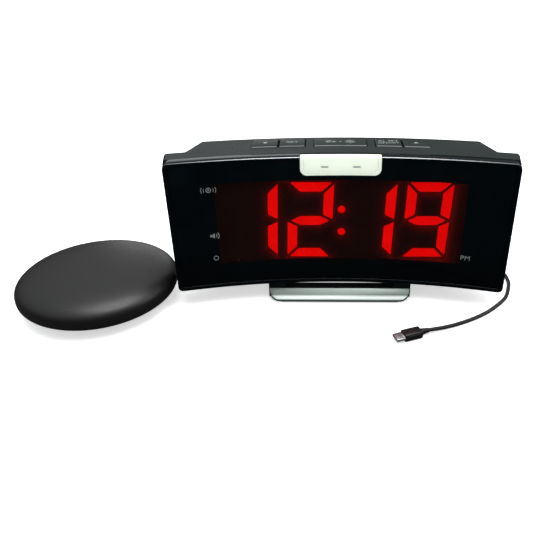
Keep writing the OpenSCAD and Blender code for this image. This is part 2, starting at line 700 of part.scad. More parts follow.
module rear_housing() color("#15191a") difference() {
    union() {
        housing_shell();
        intersection() {
            union() {
                for (side = [-1, 1], z = BODY_SCREW_Z)
                    rod_y(side * BODY_SCREW_X, z, BOSS_D + 1, BOSS_SPLIT, back_y(0));
                for (side = [-1, 1], z = BOARD_SCREW_Z)
                    rod_y(side * BOARD_SCREW_X, z, POST_D, DISPLAY_Y + board_t, back_y(0));
                for (x = MAIN_POST_X, z = MAIN_POST_Z)
                    rod_y(x, z, POST_D, MAIN_Y + board_t, back_y(0));
                for (side = [-1, 1])
                    rod_z(side * KEY_POST_X, KEY_POST_Y, POST_D, KEY_BOARD_Z + board_t, Z_DECK);
                for (side = [-1, 1], y = FOOT_SCREW_Y)
                    rod_z(side * FOOT_SCREW_X, y, POST_D, Z_LOW, FOOT_TIP_Z + 1.5);
                difference() {
                    rod_y(SPEAKER_X, SPEAKER_Z, speaker_d + 3, SPEAKER_Y, back_y(0));
                    rod_y(SPEAKER_X, SPEAKER_Z, speaker_d - 4, SPEAKER_Y - CUT, back_y(0) + CUT);
                }
                battery_pocket(TRAY_WALL);
            }
            union() {
                rear_form(0.5);
                intersection() {
                    arc_wall(bezel_depth + 1, band_depth);
                    face_block(0.5);
                }
            }
        }
    }
    battery_pocket(0);
    intersection() {
        arc_wall(body_depth - wall, body_depth + 5);
        block([DOOR_X - door_w / 2 - 2 - DOOR_GAP, 20, DOOR_Z - door_h / 2 - 2 - DOOR_GAP],
            [DOOR_X + door_w / 2 + 2 + DOOR_GAP, 60, DOOR_Z + door_h / 2 + 2 + DOOR_GAP]);
    }
    key_hole(KEY_X[0] - key_w / 2 - key_clear, KEY_X[1] + key_w / 2 + key_clear);
    key_hole(-middle_key_w / 2 - key_clear, middle_key_w / 2 + key_clear);
    key_hole(KEY_X[3] - key_w / 2 - key_clear, KEY_X[4] + key_w / 2 + key_clear);
    grille();
    for (side = [-1, 1], z = BODY_SCREW_Z) {
        rod_y(side * BODY_SCREW_X, z, HOLE_D, BOSS_SPLIT - CUT, BODY_HEAD_Y + CUT);
        rod_y(side * BODY_SCREW_X, z, HEAD_D + 0.8, BODY_HEAD_Y, back_y(0) + 5);
    }
    for (side = [-1, 1], z = BOARD_SCREW_Z)
        rod_y(side * BOARD_SCREW_X, z, SMALL_D, DISPLAY_Y, DISPLAY_Y + board_t + 7);
    for (x = MAIN_POST_X, z = MAIN_POST_Z) rod_y(x, z, SMALL_D, MAIN_Y, MAIN_Y + board_t + 6);
    for (side = [-1, 1]) {
        rod_z(side * KEY_POST_X, KEY_POST_Y, SMALL_D, KEY_BOARD_Z, KEY_BOARD_Z + board_t + 6);
        for (y = FOOT_SCREW_Y) rod_z(side * FOOT_SCREW_X, y, SCREW_D, Z_LOW - CUT, FOOT_TIP_Z + 0.2);
    }
    for (x = [VOLUME_X, TONE_X])
        rod_y(x, CONTROL_Z, knob_shaft_d + 1, MAIN_Y + board_t + POT_D, back_y(0) + 5);
    mode_slot();
    rod_y(POWER_X, SOCKET_Z, power_bore_d + 2.2, MAIN_Y + board_t, back_y(0) + 5);
    rod_y(SHAKER_X, SOCKET_Z, shaker_bore_d + 3.2, MAIN_Y + board_t, back_y(0) + 5);
    block([USB_X - 7, MAIN_Y + board_t, SOCKET_Z - 3.3], [USB_X + 7, back_y(0) + 5, SOCKET_Z + 3.3]);
}

// Slot for the mode slider's neck
module mode_slot() {
    block([MODE_X - mode_travel / 2 - MODE_STEM / 2 - 0.4, MAIN_Y + board_t + 4, CONTROL_Z - 1.9],
        [MODE_X + mode_travel / 2 + MODE_STEM / 2 + 0.4, back_y(0) + 5, CONTROL_Z + 1.9]);
}

// Keys and their board

// One key: its cap follows the arc of the body, with a rim under the deck and a stem
module key_form(x, w) {
    y = arc_y(x, KEY_MID);
    intersection() {
        arc_wall(KEY_FRONT, KEY_FRONT + key_depth);
        block([x - w / 2, -20, KEY_LOW], [x + w / 2, 80, KEY_TOP - 0.5]);
    }
    intersection() {
        arc_wall(KEY_FRONT + 0.5, KEY_FRONT + key_depth - 0.5);
        block([x - w / 2 + 0.5, -20, KEY_LOW], [x + w / 2 - 0.5, 80, KEY_TOP]);
    }
    intersection() {
        arc_wall(KEY_FRONT - 1.4, KEY_FRONT + key_depth + 1.4);
        block([x - w / 2, -20, KEY_LOW], [x + w / 2, 80, KEY_LOW + KEY_FLANGE_T]);
    }
    rod_z(x, y, key_stem_d, SWITCH_TOP + key_travel + PLUNGER_GAP, KEY_LOW + CUT);
}

module down_key() color("#1d2322") key_form(KEY_X[0], key_w);

module set_key() color("#1d2322") key_form(KEY_X[1], key_w);

module snooze_key() color("#1d2322") key_form(KEY_X[2], middle_key_w);

module alarm_key() color("#1d2322") key_form(KEY_X[3], key_w);

module up_key() color("#1d2322") key_form(KEY_X[4], key_w);

module key_board() color("#1d5b33") difference() {
    block([-KEY_BOARD_HALF, KEY_POST_Y - 5, KEY_BOARD_Z],
        [KEY_BOARD_HALF, KEY_POST_Y + 11, KEY_BOARD_Z + board_t]);
    for (side = [-1, 1])
        rod_z(side * KEY_POST_X, KEY_POST_Y, SMALL_D, KEY_BOARD_Z - CUT, KEY_BOARD_Z + board_t + CUT);
}

module key_switches() color("#2b2b2b") for (x = KEY_X) {
    y = arc_y(x, KEY_MID);
    z = KEY_BOARD_Z + board_t;
    block([x - 3, y - 3, z], [x + 3, y + 3, SWITCH_TOP - PLUNGER_H]);
    rod_z(x, y, 3.2, SWITCH_TOP - PLUNGER_H, SWITCH_TOP);
}

// Foot

// Places a shape drawn in the plane of the silver front: Y runs up the slope, Z stands out of it
module on_slope() {
    translate([0, TRIM_Y, TRIM_LOW]) rotate([trim_angle, 0, 0]) children();
}

module trim_outline(top) {
    intersection() {
        plate_outline(2 * foot_half_w, 0, 60, 0.6, TRIM_CORNER);
        translate([-foot_half_w, 0]) square([2 * foot_half_w, top]);
    }
}

module foot_trim() color("#b9c4c0") on_slope() translate([0, 0, -trim_t]) linear_extrude(trim_t)
    trim_outline(TRIM_H);

module foot_base() color("#101314") difference() {
    union() {
        intersection() {
            block([-foot_half_w, TRIM_Y - 3, FOOT_LOW], [foot_half_w, bar_depth, BAR_TOP]);
            on_slope() translate([0, 0, -FAR / 2]) linear_extrude(FAR / 2 - trim_t) trim_outline(60);
        }
        block([-foot_half_w, FOOT_BACK - bar_depth, FOOT_LOW], [foot_half_w, FOOT_BACK, BAR_TOP]);
        for (side = [0, 1]) mirror([side, 0, 0])
            block([foot_half_w - rail_w, RAIL_Y, FOOT_LOW], [foot_half_w, FOOT_BACK, Z_LOW]);
    }
    front_pad_form(CUT);
    rear_pad_form(CUT);
    for (side = [-1, 1], y = FOOT_SCREW_Y) {
        rod_z(side * FOOT_SCREW_X, y, HOLE_D, 0, Z_LOW + CUT);
        rod_z(side * FOOT_SCREW_X, y, HEAD_D + 0.8, 0, FOOT_HEAD_Z);
    }
}

// Rubber strip under the front bar, with more depth below for a cut
module front_pad_form(below) {
    block([-30, -3.2, -below], [30, 5, rubber_t]);
}

module rear_pad_form(below) {
    for (side = [-1, 1])
        rod_z(side * FOOT_SCREW_X * 0.7, FOOT_BACK - bar_depth / 2, 6, -below, rubber_t);
}

module front_foot_pad() color("#0d0d0d") front_pad_form(0);

module rear_foot_pads() color("#0d0d0d") rear_pad_form(0);

module foot_screws() color("#8f9494") for (side = [-1, 1], y = FOOT_SCREW_Y) {
    rod_z(side * FOOT_SCREW_X, y, SCREW_D, FOOT_HEAD_Z, FOOT_TIP_Z);
    rod_z(side * FOOT_SCREW_X, y, HEAD_D, FOOT_HEAD_Z - HEAD_H, FOOT_HEAD_Z);
}

// Speaker

module speaker_frame() color("#5b6062") translate([SPEAKER_X, SPEAKER_Y, SPEAKER_Z]) rotate([90, 0, 0])
    difference() {
        union() {
            cylinder(d = speaker_d, h = 1.5);
            cylinder(d1 = speaker_d - 3, d2 = MAGNET_D, h = 7);
        }
        translate([0, 0, -CUT]) cylinder(d = speaker_d - 7, h = CUT + 1);
        cylinder(d1 = speaker_d - 6, d2 = MAGNET_D - 4, h = 6);
        translate([0, 0, 5]) cylinder(d = 9, h = 3);
    }

module speaker_cone() color("#2b2a28") translate([SPEAKER_X, SPEAKER_Y, SPEAKER_Z]) rotate([90, 0, 0])
    difference() {
        union() {
            translate([0, 0, 0.4]) cylinder(d = speaker_d - 7, h = 0.6);
            translate([0, 0, 1]) cylinder(d1 = speaker_d - 10, d2 = 10, h = 4);
        }
        translate([0, 0, 0.3]) cylinder(d1 = speaker_d - 11, d2 = 7, h = 4);
    }

module speaker_magnet() color("#3c3f42") translate([SPEAKER_X, SPEAKER_Y - 7, SPEAKER_Z])
    rotate([90, 0, 0]) cylinder(d = MAGNET_D, h = 6);

// Main board and what stands on it

module main_board() color("#1d5b33") difference() {
    block([MAIN_X[0], MAIN_Y, MAIN_Z[0]], [MAIN_X[1], MAIN_Y + board_t, MAIN_Z[1]]);
    for (x = MAIN_POST_X, z = MAIN_POST_Z)
        rod_y(x, z, SMALL_D, MAIN_Y - CUT, MAIN_Y + board_t + CUT);
}

// Controller, transistor, two capacitors and a sounder
module board_parts() color("#26282b") {
    block([CHIP_X, MAIN_Y - CHIP_T, Z_MID - CHIP_W - 4], [CHIP_X + CHIP_W, MAIN_Y, Z_MID - 8]);
    block([POWER_CHIP_X, MAIN_Y - 3, Z_MID - 16], [POWER_CHIP_X + 8, MAIN_Y, Z_MID - 8]);
    for (x = CAPACITOR_X) rod_y(x, Z_MID + 18, CAPACITOR_D, MAIN_Y - 9, MAIN_Y);
    rod_y(SOUNDER_X, Z_MID + 16, SOUNDER_D, MAIN_Y - 3.5, MAIN_Y);
}

// Ribbed knob on its shaft, which turns in the control behind the wall
module knob_form(x) {
    y = back_y(x - knob_d / 2) + 0.5;
    difference() {
        rod_y(x, CONTROL_Z, knob_d, y, y + knob_h);
        for (i = [0:17])
            rod_y(x + knob_d / 2 * cos(20 * i), CONTROL_Z + knob_d / 2 * sin(20 * i), 1, y + 1,
                y + knob_h + CUT);
        block([x - 0.5, y + knob_h - 0.6, CONTROL_Z + 1.5],
            [x + 0.5, y + knob_h + CUT, CONTROL_Z + knob_d / 2 + CUT]);
    }
    rod_y(x, CONTROL_Z, knob_shaft_d - 2 * RUN, MAIN_Y + board_t + 1, y + CUT);
}

module pot_form(x) difference() {
    block([x - POT_SIZE / 2, MAIN_Y + board_t, CONTROL_Z - POT_SIZE / 2],
        [x + POT_SIZE / 2, MAIN_Y + board_t + POT_D, CONTROL_Z + POT_SIZE / 2]);
    rod_y(x, CONTROL_Z, knob_shaft_d, MAIN_Y + board_t + 0.7, MAIN_Y + board_t + POT_D + CUT);
}

module volume_knob() color("#1a1d1e") knob_form(VOLUME_X);

module volume_pot() color("#6d7478") pot_form(VOLUME_X);

module tone_knob() color("#1a1d1e") knob_form(TONE_X);

module tone_pot() color("#6d7478") pot_form(TONE_X);

// Slider: a neck in the slot and a ribbed cap outside, at one end of its travel
module mode_slider() color("#c9cdcb") {
    x = MODE_X - mode_travel / 2;
    y = back_y(0) + 0.4;
    block([x - MODE_STEM / 2, MAIN_Y + board_t + 4.3, CONTROL_Z - 1.5],
        [x + MODE_STEM / 2, y + CUT / 2, CONTROL_Z + 1.5]);
    difference() {
        block([x - MODE_CAP / 2, y, CONTROL_Z - 2.6], [x + MODE_CAP / 2, y + 2, CONTROL_Z + 2.6]);
        for (i = [-1:1])
            block([x + i * 1.4 - 0.3, y + 1.5, CONTROL_Z - 3], [x + i * 1.4 + 0.3, y + 3, CONTROL_Z + 3]);
    }
}

module mode_switch() color("#8b9092")
    block([MODE_X - mode_travel / 2 - 3, MAIN_Y + board_t, CONTROL_Z - 2.5],
        [MODE_X + mode_travel / 2 + 3, MAIN_Y + board_t + 4, CONTROL_Z + 2.5]);

module power_jack() color("#202224") {
    y = back_y(POWER_X);
    difference() {
        union() {
            block([POWER_X - 5, MAIN_Y + board_t, SOCKET_Z - 5], [POWER_X + 5, y - wall - 1, SOCKET_Z + 5]);
            rod_y(POWER_X, SOCKET_Z, power_bore_d + 2, y - wall - 1.5, y - 0.3);
        }
        rod_y(POWER_X, SOCKET_Z, power_bore_d, y - 10, y + CUT);
    }
    rod_y(POWER_X, SOCKET_Z, 2, y - 10.5, y - 1.5);
}

module shaker_jack() color("#202224") {
    y = back_y(SHAKER_X);
    difference() {
        union() {
            block([SHAKER_X - 4, MAIN_Y + board_t, SOCKET_Z - 4], [SHAKER_X + 4, y - wall - 1, SOCKET_Z + 4]);
            rod_y(SHAKER_X, SOCKET_Z, shaker_bore_d + 3, y - wall - 1.5, y + 0.4);
        }
        rod_y(SHAKER_X, SOCKET_Z, shaker_bore_d, y - 11, y + CUT);
    }
}

// Metal shell round a tongue, which the plug goes into
module usb_port() color("#b7bcbf") {
    y = back_y(USB_X) - 0.2;
    difference() {
        block([USB_X - 6.6, MAIN_Y + board_t, SOCKET_Z - 2.85], [USB_X + 6.6, y, SOCKET_Z + 2.85]);
        block([USB_X - 6.2, y - 9.5, SOCKET_Z - 2.45], [USB_X + 6.2, y + CUT, SOCKET_Z + 2.45]);
    }
    block([USB_X - 5.4, y - 10, SOCKET_Z + 0.1], [USB_X + 5.4, y - 1, SOCKET_Z + 1.5]);
}

module battery_door() color("#15191a") difference() {
    intersection() {
        arc_wall(body_depth - wall + 0.05, body_depth);
        block([DOOR_X - door_w / 2 - 2, 20, DOOR_Z - door_h / 2 - 2],
            [DOOR_X + door_w / 2 + 2, 60, DOOR_Z + door_h / 2 + 2]);
    }
    for (i = [-3:3]) intersection() {
        arc_wall(body_depth - 0.7, body_depth + 5);
        block([DOOR_X + i * 2 - 0.5, 20, DOOR_Z + 5], [DOOR_X + i * 2 + 0.5, 60, DOOR_Z + 10]);
    }
}

// Sprung plates at both ends of the pocket, two to a side
module battery_contacts() color("#c8ccd0") for (side = [-1, 1], row = [-1, 1]) {
    x = DOOR_X + side * door_w / 2;
    z = DOOR_Z + row * door_h / 4;
    translate([x, TRAY_Y + 6, z]) rotate([0, -90 * side, 0]) {
        translate([-4, -4.5, 0]) cube([8, 9, 0.4]);
        cylinder(d1 = 7, d2 = 4, h = row * side > 0 ? 1.2 : 2.4);
    }
}

module housing_screws() color("#8f9494") for (side = [-1, 1], z = BODY_SCREW_Z)
    screw_y(side * BODY_SCREW_X, z, SCREW_D, HEAD_D, BOSS_SPLIT - 8, BODY_HEAD_Y);

module board_screws() color("#8f9494") {
    for (side = [-1, 1], z = BOARD_SCREW_Z)
        screw_front(side * BOARD_SCREW_X, z, DISPLAY_Y, DISPLAY_Y + board_t + 6);
    for (x = MAIN_POST_X, z = MAIN_POST_Z) screw_front(x, z, MAIN_Y, MAIN_Y + board_t + 5);
    for (side = [-1, 1]) {
        rod_z(side * KEY_POST_X, KEY_POST_Y, SMALL_D, KEY_BOARD_Z, KEY_BOARD_Z + board_t + 5);
        rod_z(side * KEY_POST_X, KEY_POST_Y, SMALL_HEAD_D, KEY_BOARD_Z - 1.2, KEY_BOARD_Z);
    }
}

module ribbon_cable() color("#c9ccd1")
    block([26, DISPLAY_Y + board_t, Z_MID - 2.4], [36, MAIN_Y, Z_MID - 1.6]);

// Shaker pad

// Right half of the pad's section, drawn in by an inset
function pad_points(inset) = [for (i = [0:PAD_STEPS]) let (a = -90 + i * 180 / PAD_STEPS)
    [(PAD_A - inset) * pow(cos(a), 2 / pad_power),
        PAD_MID + (PAD_B - inset) * sign(a) * pow(abs(sin(a)), 2 / pad_power)]];

// The pad's wall between two heights
module pad_wall(low, high) {
    translate([pad_x, PAD_Y, 0]) rotate_extrude($fn = 96) intersection() {
        difference() {
            polygon(pad_points(0));
            polygon(pad_points(wall));
        }
        translate([0, low]) square([pad_d, high - low]);
    }
}

function pad_screw_at(i) = [pad_x + PAD_SCREW_R * cos(30 + 120 * i),
    PAD_Y + PAD_SCREW_R * sin(30 + 120 * i)];

module pad_top_shell() color("#141414") difference() {
    union() {
        pad_wall(pad_seam, pad_h + CUT);
        for (i = [0:2])
            rod_z(pad_screw_at(i).x, pad_screw_at(i).y, BOSS_D, pad_seam, PAD_POST_TOP);
    }
    for (i = [0:2])
        rod_z(pad_screw_at(i).x, pad_screw_at(i).y, SCREW_D, pad_seam - CUT, pad_seam + 9);
    gland_hole();
}

module pad_bottom_shell() color("#141414") difference() {
    union() {
        pad_wall(0, pad_seam);
        for (i = [0:2])
            rod_z(pad_screw_at(i).x, pad_screw_at(i).y, BOSS_D + 1, PAD_HEAD_Z - wall, pad_seam);
        for (x = [MOTOR_X + 3, MOTOR_X + motor_l - 5])
            block([x, PAD_Y - 8.5, PAD_FLOOR], [x + 2, PAD_Y + 8.5, pad_seam]);
        for (side = [-1, 1])
            rod_z(MOTOR_X + motor_l / 2, PAD_Y + side * (motor_d / 2 + 5), POST_D, PAD_FLOOR, MOTOR_Z - 6);
    }
    rod_z(pad_x, PAD_Y, PAD_BASE_D, -CUT, PAD_LOW + PAD_BASE_SINK);
    translate([MOTOR_X, PAD_Y, MOTOR_Z]) rotate([0, 90, 0]) cylinder(d = motor_d, h = motor_l);
    for (i = [0:2]) {
        rod_z(pad_screw_at(i).x, pad_screw_at(i).y, HOLE_D, -CUT, pad_seam + CUT);
        rod_z(pad_screw_at(i).x, pad_screw_at(i).y, HEAD_D + 0.8, -CUT, PAD_HEAD_Z);
    }
    for (side = [-1, 1])
        rod_z(MOTOR_X + motor_l / 2, PAD_Y + side * (motor_d / 2 + 5), SMALL_D, 3, MOTOR_Z);
    gland_hole();
}

// Square window in the seam for the gland's flange
module gland_hole() {
    block([pad_x - GLAND_W / 2, PAD_Y + PAD_A - 8, pad_seam - GLAND_W / 2],
        [pad_x + GLAND_W / 2, PAD_Y + PAD_A + 10, pad_seam + GLAND_W / 2]);
}

// Rubber ring with a solid middle under the pad
module pad_base() color("#0d0d0d") rod_z(pad_x, PAD_Y, PAD_BASE_D, 0, PAD_LOW + PAD_BASE_SINK);

module pad_motor() color("#9aa0a4") translate([MOTOR_X, PAD_Y, MOTOR_Z]) rotate([0, 90, 0]) difference() {
    cylinder(d = motor_d, h = motor_l);
    translate([0, 0, motor_l - 8]) cylinder(d = SHAFT_D + 2 * RUN, h = 8 + CUT);
}

module motor_shaft() color("#c8ccd0") translate([MOTOR_X + motor_l - 7, PAD_Y, MOTOR_Z]) rotate([0, 90, 0])
    cylinder(d = SHAFT_D, h = 7 + WEIGHT_GAP + WEIGHT_T);

// Half disc on the shaft, hanging down at rest
module eccentric_weight() color("#7c7468") translate([MOTOR_X + motor_l + WEIGHT_GAP, PAD_Y, MOTOR_Z])
    rotate([0, 90, 0]) difference() {
        union() {
            intersection() {
                cylinder(r = weight_r, h = WEIGHT_T);
                translate([0, -weight_r, 0]) cube([weight_r, 2 * weight_r, WEIGHT_T]);
            }
            cylinder(r = SHAFT_D + 0.8, h = WEIGHT_T);
        }
        translate([0, 0, -CUT]) cylinder(d = SHAFT_D, h = WEIGHT_T + 2 * CUT);
    }

// Strap over the motor, screwed to the bottom shell at both sides
module motor_clamp() color("#b7bcbf") {
    x = MOTOR_X + motor_l / 2;
    foot_z = MOTOR_Z - 6;
    translate([x - CLAMP_W / 2, PAD_Y, MOTOR_Z]) rotate([0, 90, 0]) difference() {
        cylinder(d = motor_d + 2 * CLAMP_T, h = CLAMP_W);
        translate([0, 0, -CUT]) cylinder(d = motor_d, h = CLAMP_W + 2 * CUT);
        translate([6, -FAR / 2, -CUT]) cube([FAR, FAR, CLAMP_W + 2 * CUT]);
    }
    for (side = [-1, 1]) difference() {
        translate([x - CLAMP_W / 2, PAD_Y + (side < 0 ? -motor_d / 2 - 8 : motor_d / 2), foot_z])
            cube([CLAMP_W, 8, CLAMP_T]);
        translate([x - CLAMP_W, PAD_Y, MOTOR_Z]) rotate([0, 90, 0]) cylinder(d = motor_d, h = CLAMP_W * 2);
        rod_z(x, PAD_Y + side * (motor_d / 2 + 5), SMALL_D, foot_z - CUT, foot_z + CLAMP_T + CUT);
    }
}

// Square flange in the seam at the back of the pad, with a round neck and the lead's bore
module pad_gland() color("#0d0d0d") difference() {
    union() {
        block([pad_x - GLAND_W / 2, PAD_Y + PAD_A - 6, pad_seam - GLAND_W / 2],
            [pad_x + GLAND_W / 2, PAD_Y + PAD_A + 1.5, pad_seam + GLAND_W / 2]);
        rod_y(pad_x, pad_seam, GLAND_W - 2, PAD_Y + PAD_A + 1, PAD_Y + PAD_A + 7);
    }
    rod_y(pad_x, pad_seam, gland_bore_d, PAD_Y + PAD_A - 8, PAD_Y + PAD_A + 8);
}

module pad_screws() color("#8f9494") {
    for (i = [0:2]) {
        rod_z(pad_screw_at(i).x, pad_screw_at(i).y, SCREW_D, PAD_HEAD_Z, pad_seam + 8);
        rod_z(pad_screw_at(i).x, pad_screw_at(i).y, HEAD_D, PAD_HEAD_Z - HEAD_H, PAD_HEAD_Z);
    }
    for (side = [-1, 1]) {
        x = MOTOR_X + motor_l / 2;
        y = PAD_Y + side * (motor_d / 2 + 5);
        z = MOTOR_Z - 6 + CLAMP_T;
        rod_z(x, y, SMALL_D, 3.5, z);
        rod_z(x, y, SMALL_HEAD_D, z, z + 1.2);
    }
}

// Charging lead

function unit(v) = v / norm(v);

// Direction of a path at one of its points
function path_dir(p, i) = unit(p[min(i + 1, len(p) - 1)] - p[max(i - 1, 0)]);

// Ring of points round a path's point, with one of them at the top
function path_ring(p, i, r, sides) =
    let (t = path_dir(p, i), across = unit(cross(t, [0, 0, 1])), up = cross(across, t))
    [for (k = [0:sides - 1]) p[i] + r * (cos(360 * k / sides) * up + sin(360 * k / sides) * across)];

// Tube along a path, closed at both ends
module tube(p, r, sides) {
    n = len(p);
    points = [for (i = [0:n - 1]) each path_ring(p, i, r, sides)];
    walls = [for (i = [0:n - 2], k = [0:sides - 1])
        let (a = i * sides + k, b = i * sides + (k + 1) % sides)
        each [[a, b, b + sides], [a, b + sides, a + sides]]];
    start = [for (k = [1:sides - 2]) [0, k + 1, k]];
    last = (n - 1) * sides;
    end = [for (k = [1:sides - 2]) [last, last + k, last + k + 1]];
    polyhedron(points, concat(walls, start, end));
}

// Point on the smooth curve through four of a route's points, between the middle two
function between(a, b, c, d, t) = 0.5 * (2 * b + (c - a) * t + (2 * a - 5 * b + 4 * c - d) * t * t
    + (3 * b - a - 3 * c + d) * t * t * t);

// A route with one more point put in each stretch
function smooth_route(p) =
    let (n = len(p) - 1)
    concat([for (i = [0:n - 1], t = [0, 0.5])
        between(p[max(i - 1, 0)], p[i], p[i + 1], p[min(i + 2, n)], t)], [p[n]]);

// Coil: clockwise from the left, in to the middle and out again, a layer higher
COIL_COUNT = COIL_TURNS * COIL_RINGS;
COIL_MID = COIL_COUNT / 2;
COIL_CLIMB = COIL_RINGS / 4;
COIL_R_IN = COIL_R_OUT - COIL_STEP * COIL_TURNS / 2;
function coil_r(i) = COIL_R_IN + COIL_STEP / COIL_RINGS * abs(i - COIL_MID);
function coil_z(i) = COIL_Z + COIL_STEP
    * (1 - cos(90 + 90 * max(-1, min(1, (i - COIL_MID) / COIL_CLIMB)))) / 2;
function coil_point(i) = [COIL_X + coil_r(i) * cos(180 - 360 * i / COIL_RINGS),
    COIL_Y + coil_r(i) * sin(180 - 360 * i / COIL_RINGS), coil_z(i)];
COIL_PATH = concat([[USB_X, COIL_Y - lead_d, COIL_Z]], [for (i = [0:COIL_COUNT]) coil_point(i)],
    [[COIL_X + COIL_R_OUT, COIL_Y - lead_d, COIL_Z + COIL_STEP]]);

// Least distance between turns that aren't next to each other along the lead
COIL_GAP = min([for (i = [0:len(COIL_PATH) - 1], j = [i + 12:1:len(COIL_PATH) - 1])
    norm(COIL_PATH[i] - COIL_PATH[j])]) - lead_d;
echo(coil_gap = COIL_GAP);

module lead_start() color("#101010") tube(smooth_route(START_ROUTE), LEAD_R, 8);

module lead_coil() color("#101010") tube(COIL_PATH, LEAD_R, COIL_SIDES);

module lead_run() color("#101010") tube(smooth_route(RUN_ROUTE), LEAD_R, 8);

// Strap round the coil's bundle, at the side away from the clock
module lead_tie() color("#1a1a1a") {
    r_in = COIL_R_IN - LEAD_R - TIE_GAP;
    r_out = COIL_R_OUT + LEAD_R + TIE_GAP;
    low = COIL_Z - LEAD_R - TIE_GAP;
    high = COIL_Z + COIL_STEP + LEAD_R + TIE_GAP;
    difference() {
        block([COIL_X - TIE_W / 2, COIL_Y + r_in - TIE_T, low - TIE_T],
            [COIL_X + TIE_W / 2, COIL_Y + r_out + TIE_T, high + TIE_T]);
        block([COIL_X - TIE_W, COIL_Y + r_in, low], [COIL_X + TIE_W, COIL_Y + r_out, high]);
    }
}

module usb_plug() color("#141414") {
    y = back_y(USB_X) - 0.2;
    difference() {
        block([USB_X - 6, y - 8.6, SOCKET_Z - 2.25], [USB_X + 6, PLUG_Y + CUT, SOCKET_Z + 2.25]);
        block([USB_X - 5.7, y - 9, SOCKET_Z - 0.1], [USB_X + 5.7, PLUG_Y - 0.1, SOCKET_Z + 1.95]);
    }
    difference() {
        plate_block(USB_X, SOCKET_Z, PLUG_W, 7.8, 1.6, PLUG_Y, PLUG_Y + PLUG_L);
        for (side = [-1, 1], i = [0:3])
            block([USB_X + side * 7.75 - 0.4, PLUG_Y + 5 + 2.4 * i, SOCKET_Z - 2.5],
                [USB_X + side * 7.75 + 0.4, PLUG_Y + 6 + 2.4 * i, SOCKET_Z + 2.5]);
    }
    translate([USB_X, PLUG_Y + PLUG_L, SOCKET_Z]) rotate([-90, 0, 0])
        cylinder(d1 = 6, d2 = lead_d + 1, h = RELIEF_L);
}

// Bar along Y with a rounded section
module plate_block(x, z, w, h, r, y0, y1) {
    translate([x, 0, 0]) plate(w, z - h / 2, z + h / 2, r, r, y0, y1);
}

// Connector at the far end: strain relief, grip and metal tip, in line with the end of the run
module lead_connector() color("#141414")
    translate(RUN_END) rotate([0, 0, CONNECTOR_TURN - 90]) {
        rotate([-90, 0, 0]) cylinder(d1 = lead_d + 0.6, d2 = 4.4, h = 5.5);
        plate_block(0, 0, 7, 5, 1.6, 5, 17);
        plate_block(0, 0, 6.8, 1.8, 0.4, 16.5, 22);
    }

front_bezel();
face_lens();
red_filter();
led_module();
lit_segments();
dark_segments();
colon_dots();
display_board();
indicator_leds();
flash_lens();
flash_reflector();
flash_leds();
flash_board();
rear_housing();
down_key();
set_key();
snooze_key();
alarm_key();
up_key();
key_board();
key_switches();
foot_base();
foot_trim();
front_foot_pad();
rear_foot_pads();
foot_screws();
speaker_frame();
speaker_cone();
speaker_magnet();
main_board();
board_parts();
volume_knob();
volume_pot();
tone_knob();
tone_pot();
mode_slider();
mode_switch();
power_jack();
shaker_jack();
usb_port();
battery_door();
battery_contacts();
housing_screws();
board_screws();
ribbon_cable();
pad_top_shell();
pad_bottom_shell();
pad_base();
pad_motor();
motor_shaft();
eccentric_weight();
motor_clamp();
pad_gland();
pad_screws();
usb_plug();
lead_start();
lead_coil();
lead_tie();
lead_run();
lead_connector();
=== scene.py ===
"""Builds the looks of a bed shaker alarm clock round its fixed frame: the curved clock, the round
shaker pad and the charging lead. Bare meshes are worked in millimetres and made metres at the end."""

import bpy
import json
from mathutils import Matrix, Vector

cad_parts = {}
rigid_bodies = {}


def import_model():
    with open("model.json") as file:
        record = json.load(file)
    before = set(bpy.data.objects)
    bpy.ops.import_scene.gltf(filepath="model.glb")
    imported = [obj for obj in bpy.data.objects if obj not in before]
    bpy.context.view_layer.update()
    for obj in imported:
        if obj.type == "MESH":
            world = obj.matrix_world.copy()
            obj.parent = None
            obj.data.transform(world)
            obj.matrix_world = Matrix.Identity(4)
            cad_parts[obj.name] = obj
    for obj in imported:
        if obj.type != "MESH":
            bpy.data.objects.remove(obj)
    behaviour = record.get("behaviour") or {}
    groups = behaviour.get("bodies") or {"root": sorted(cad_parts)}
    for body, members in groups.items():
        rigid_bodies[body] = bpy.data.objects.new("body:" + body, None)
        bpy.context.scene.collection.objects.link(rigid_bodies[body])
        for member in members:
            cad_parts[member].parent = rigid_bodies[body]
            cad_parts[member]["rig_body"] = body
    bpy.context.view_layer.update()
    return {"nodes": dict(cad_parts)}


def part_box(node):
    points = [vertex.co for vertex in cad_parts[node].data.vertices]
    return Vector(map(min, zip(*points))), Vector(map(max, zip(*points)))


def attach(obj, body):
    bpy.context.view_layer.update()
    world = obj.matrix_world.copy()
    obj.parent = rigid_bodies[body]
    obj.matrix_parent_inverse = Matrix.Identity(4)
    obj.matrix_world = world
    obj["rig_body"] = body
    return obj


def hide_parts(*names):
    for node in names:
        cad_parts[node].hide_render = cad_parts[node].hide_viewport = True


bl_info = {
    "name": "Bed Shaker Alarm Clock",
    "version": (1, 0, 0),
    "blender": (4, 5, 0),
    "location": "3D View > Sidebar > Alarm Clock",
    "description": "Builds a curved alarm clock, its bed shaker pad and its charging lead",
    "category": "Add Mesh",
}

import json
import math

import bmesh
import bpy
from mathutils import Matrix, Vector

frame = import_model()
CAD_NODES = frame["nodes"]

MM = 0.001

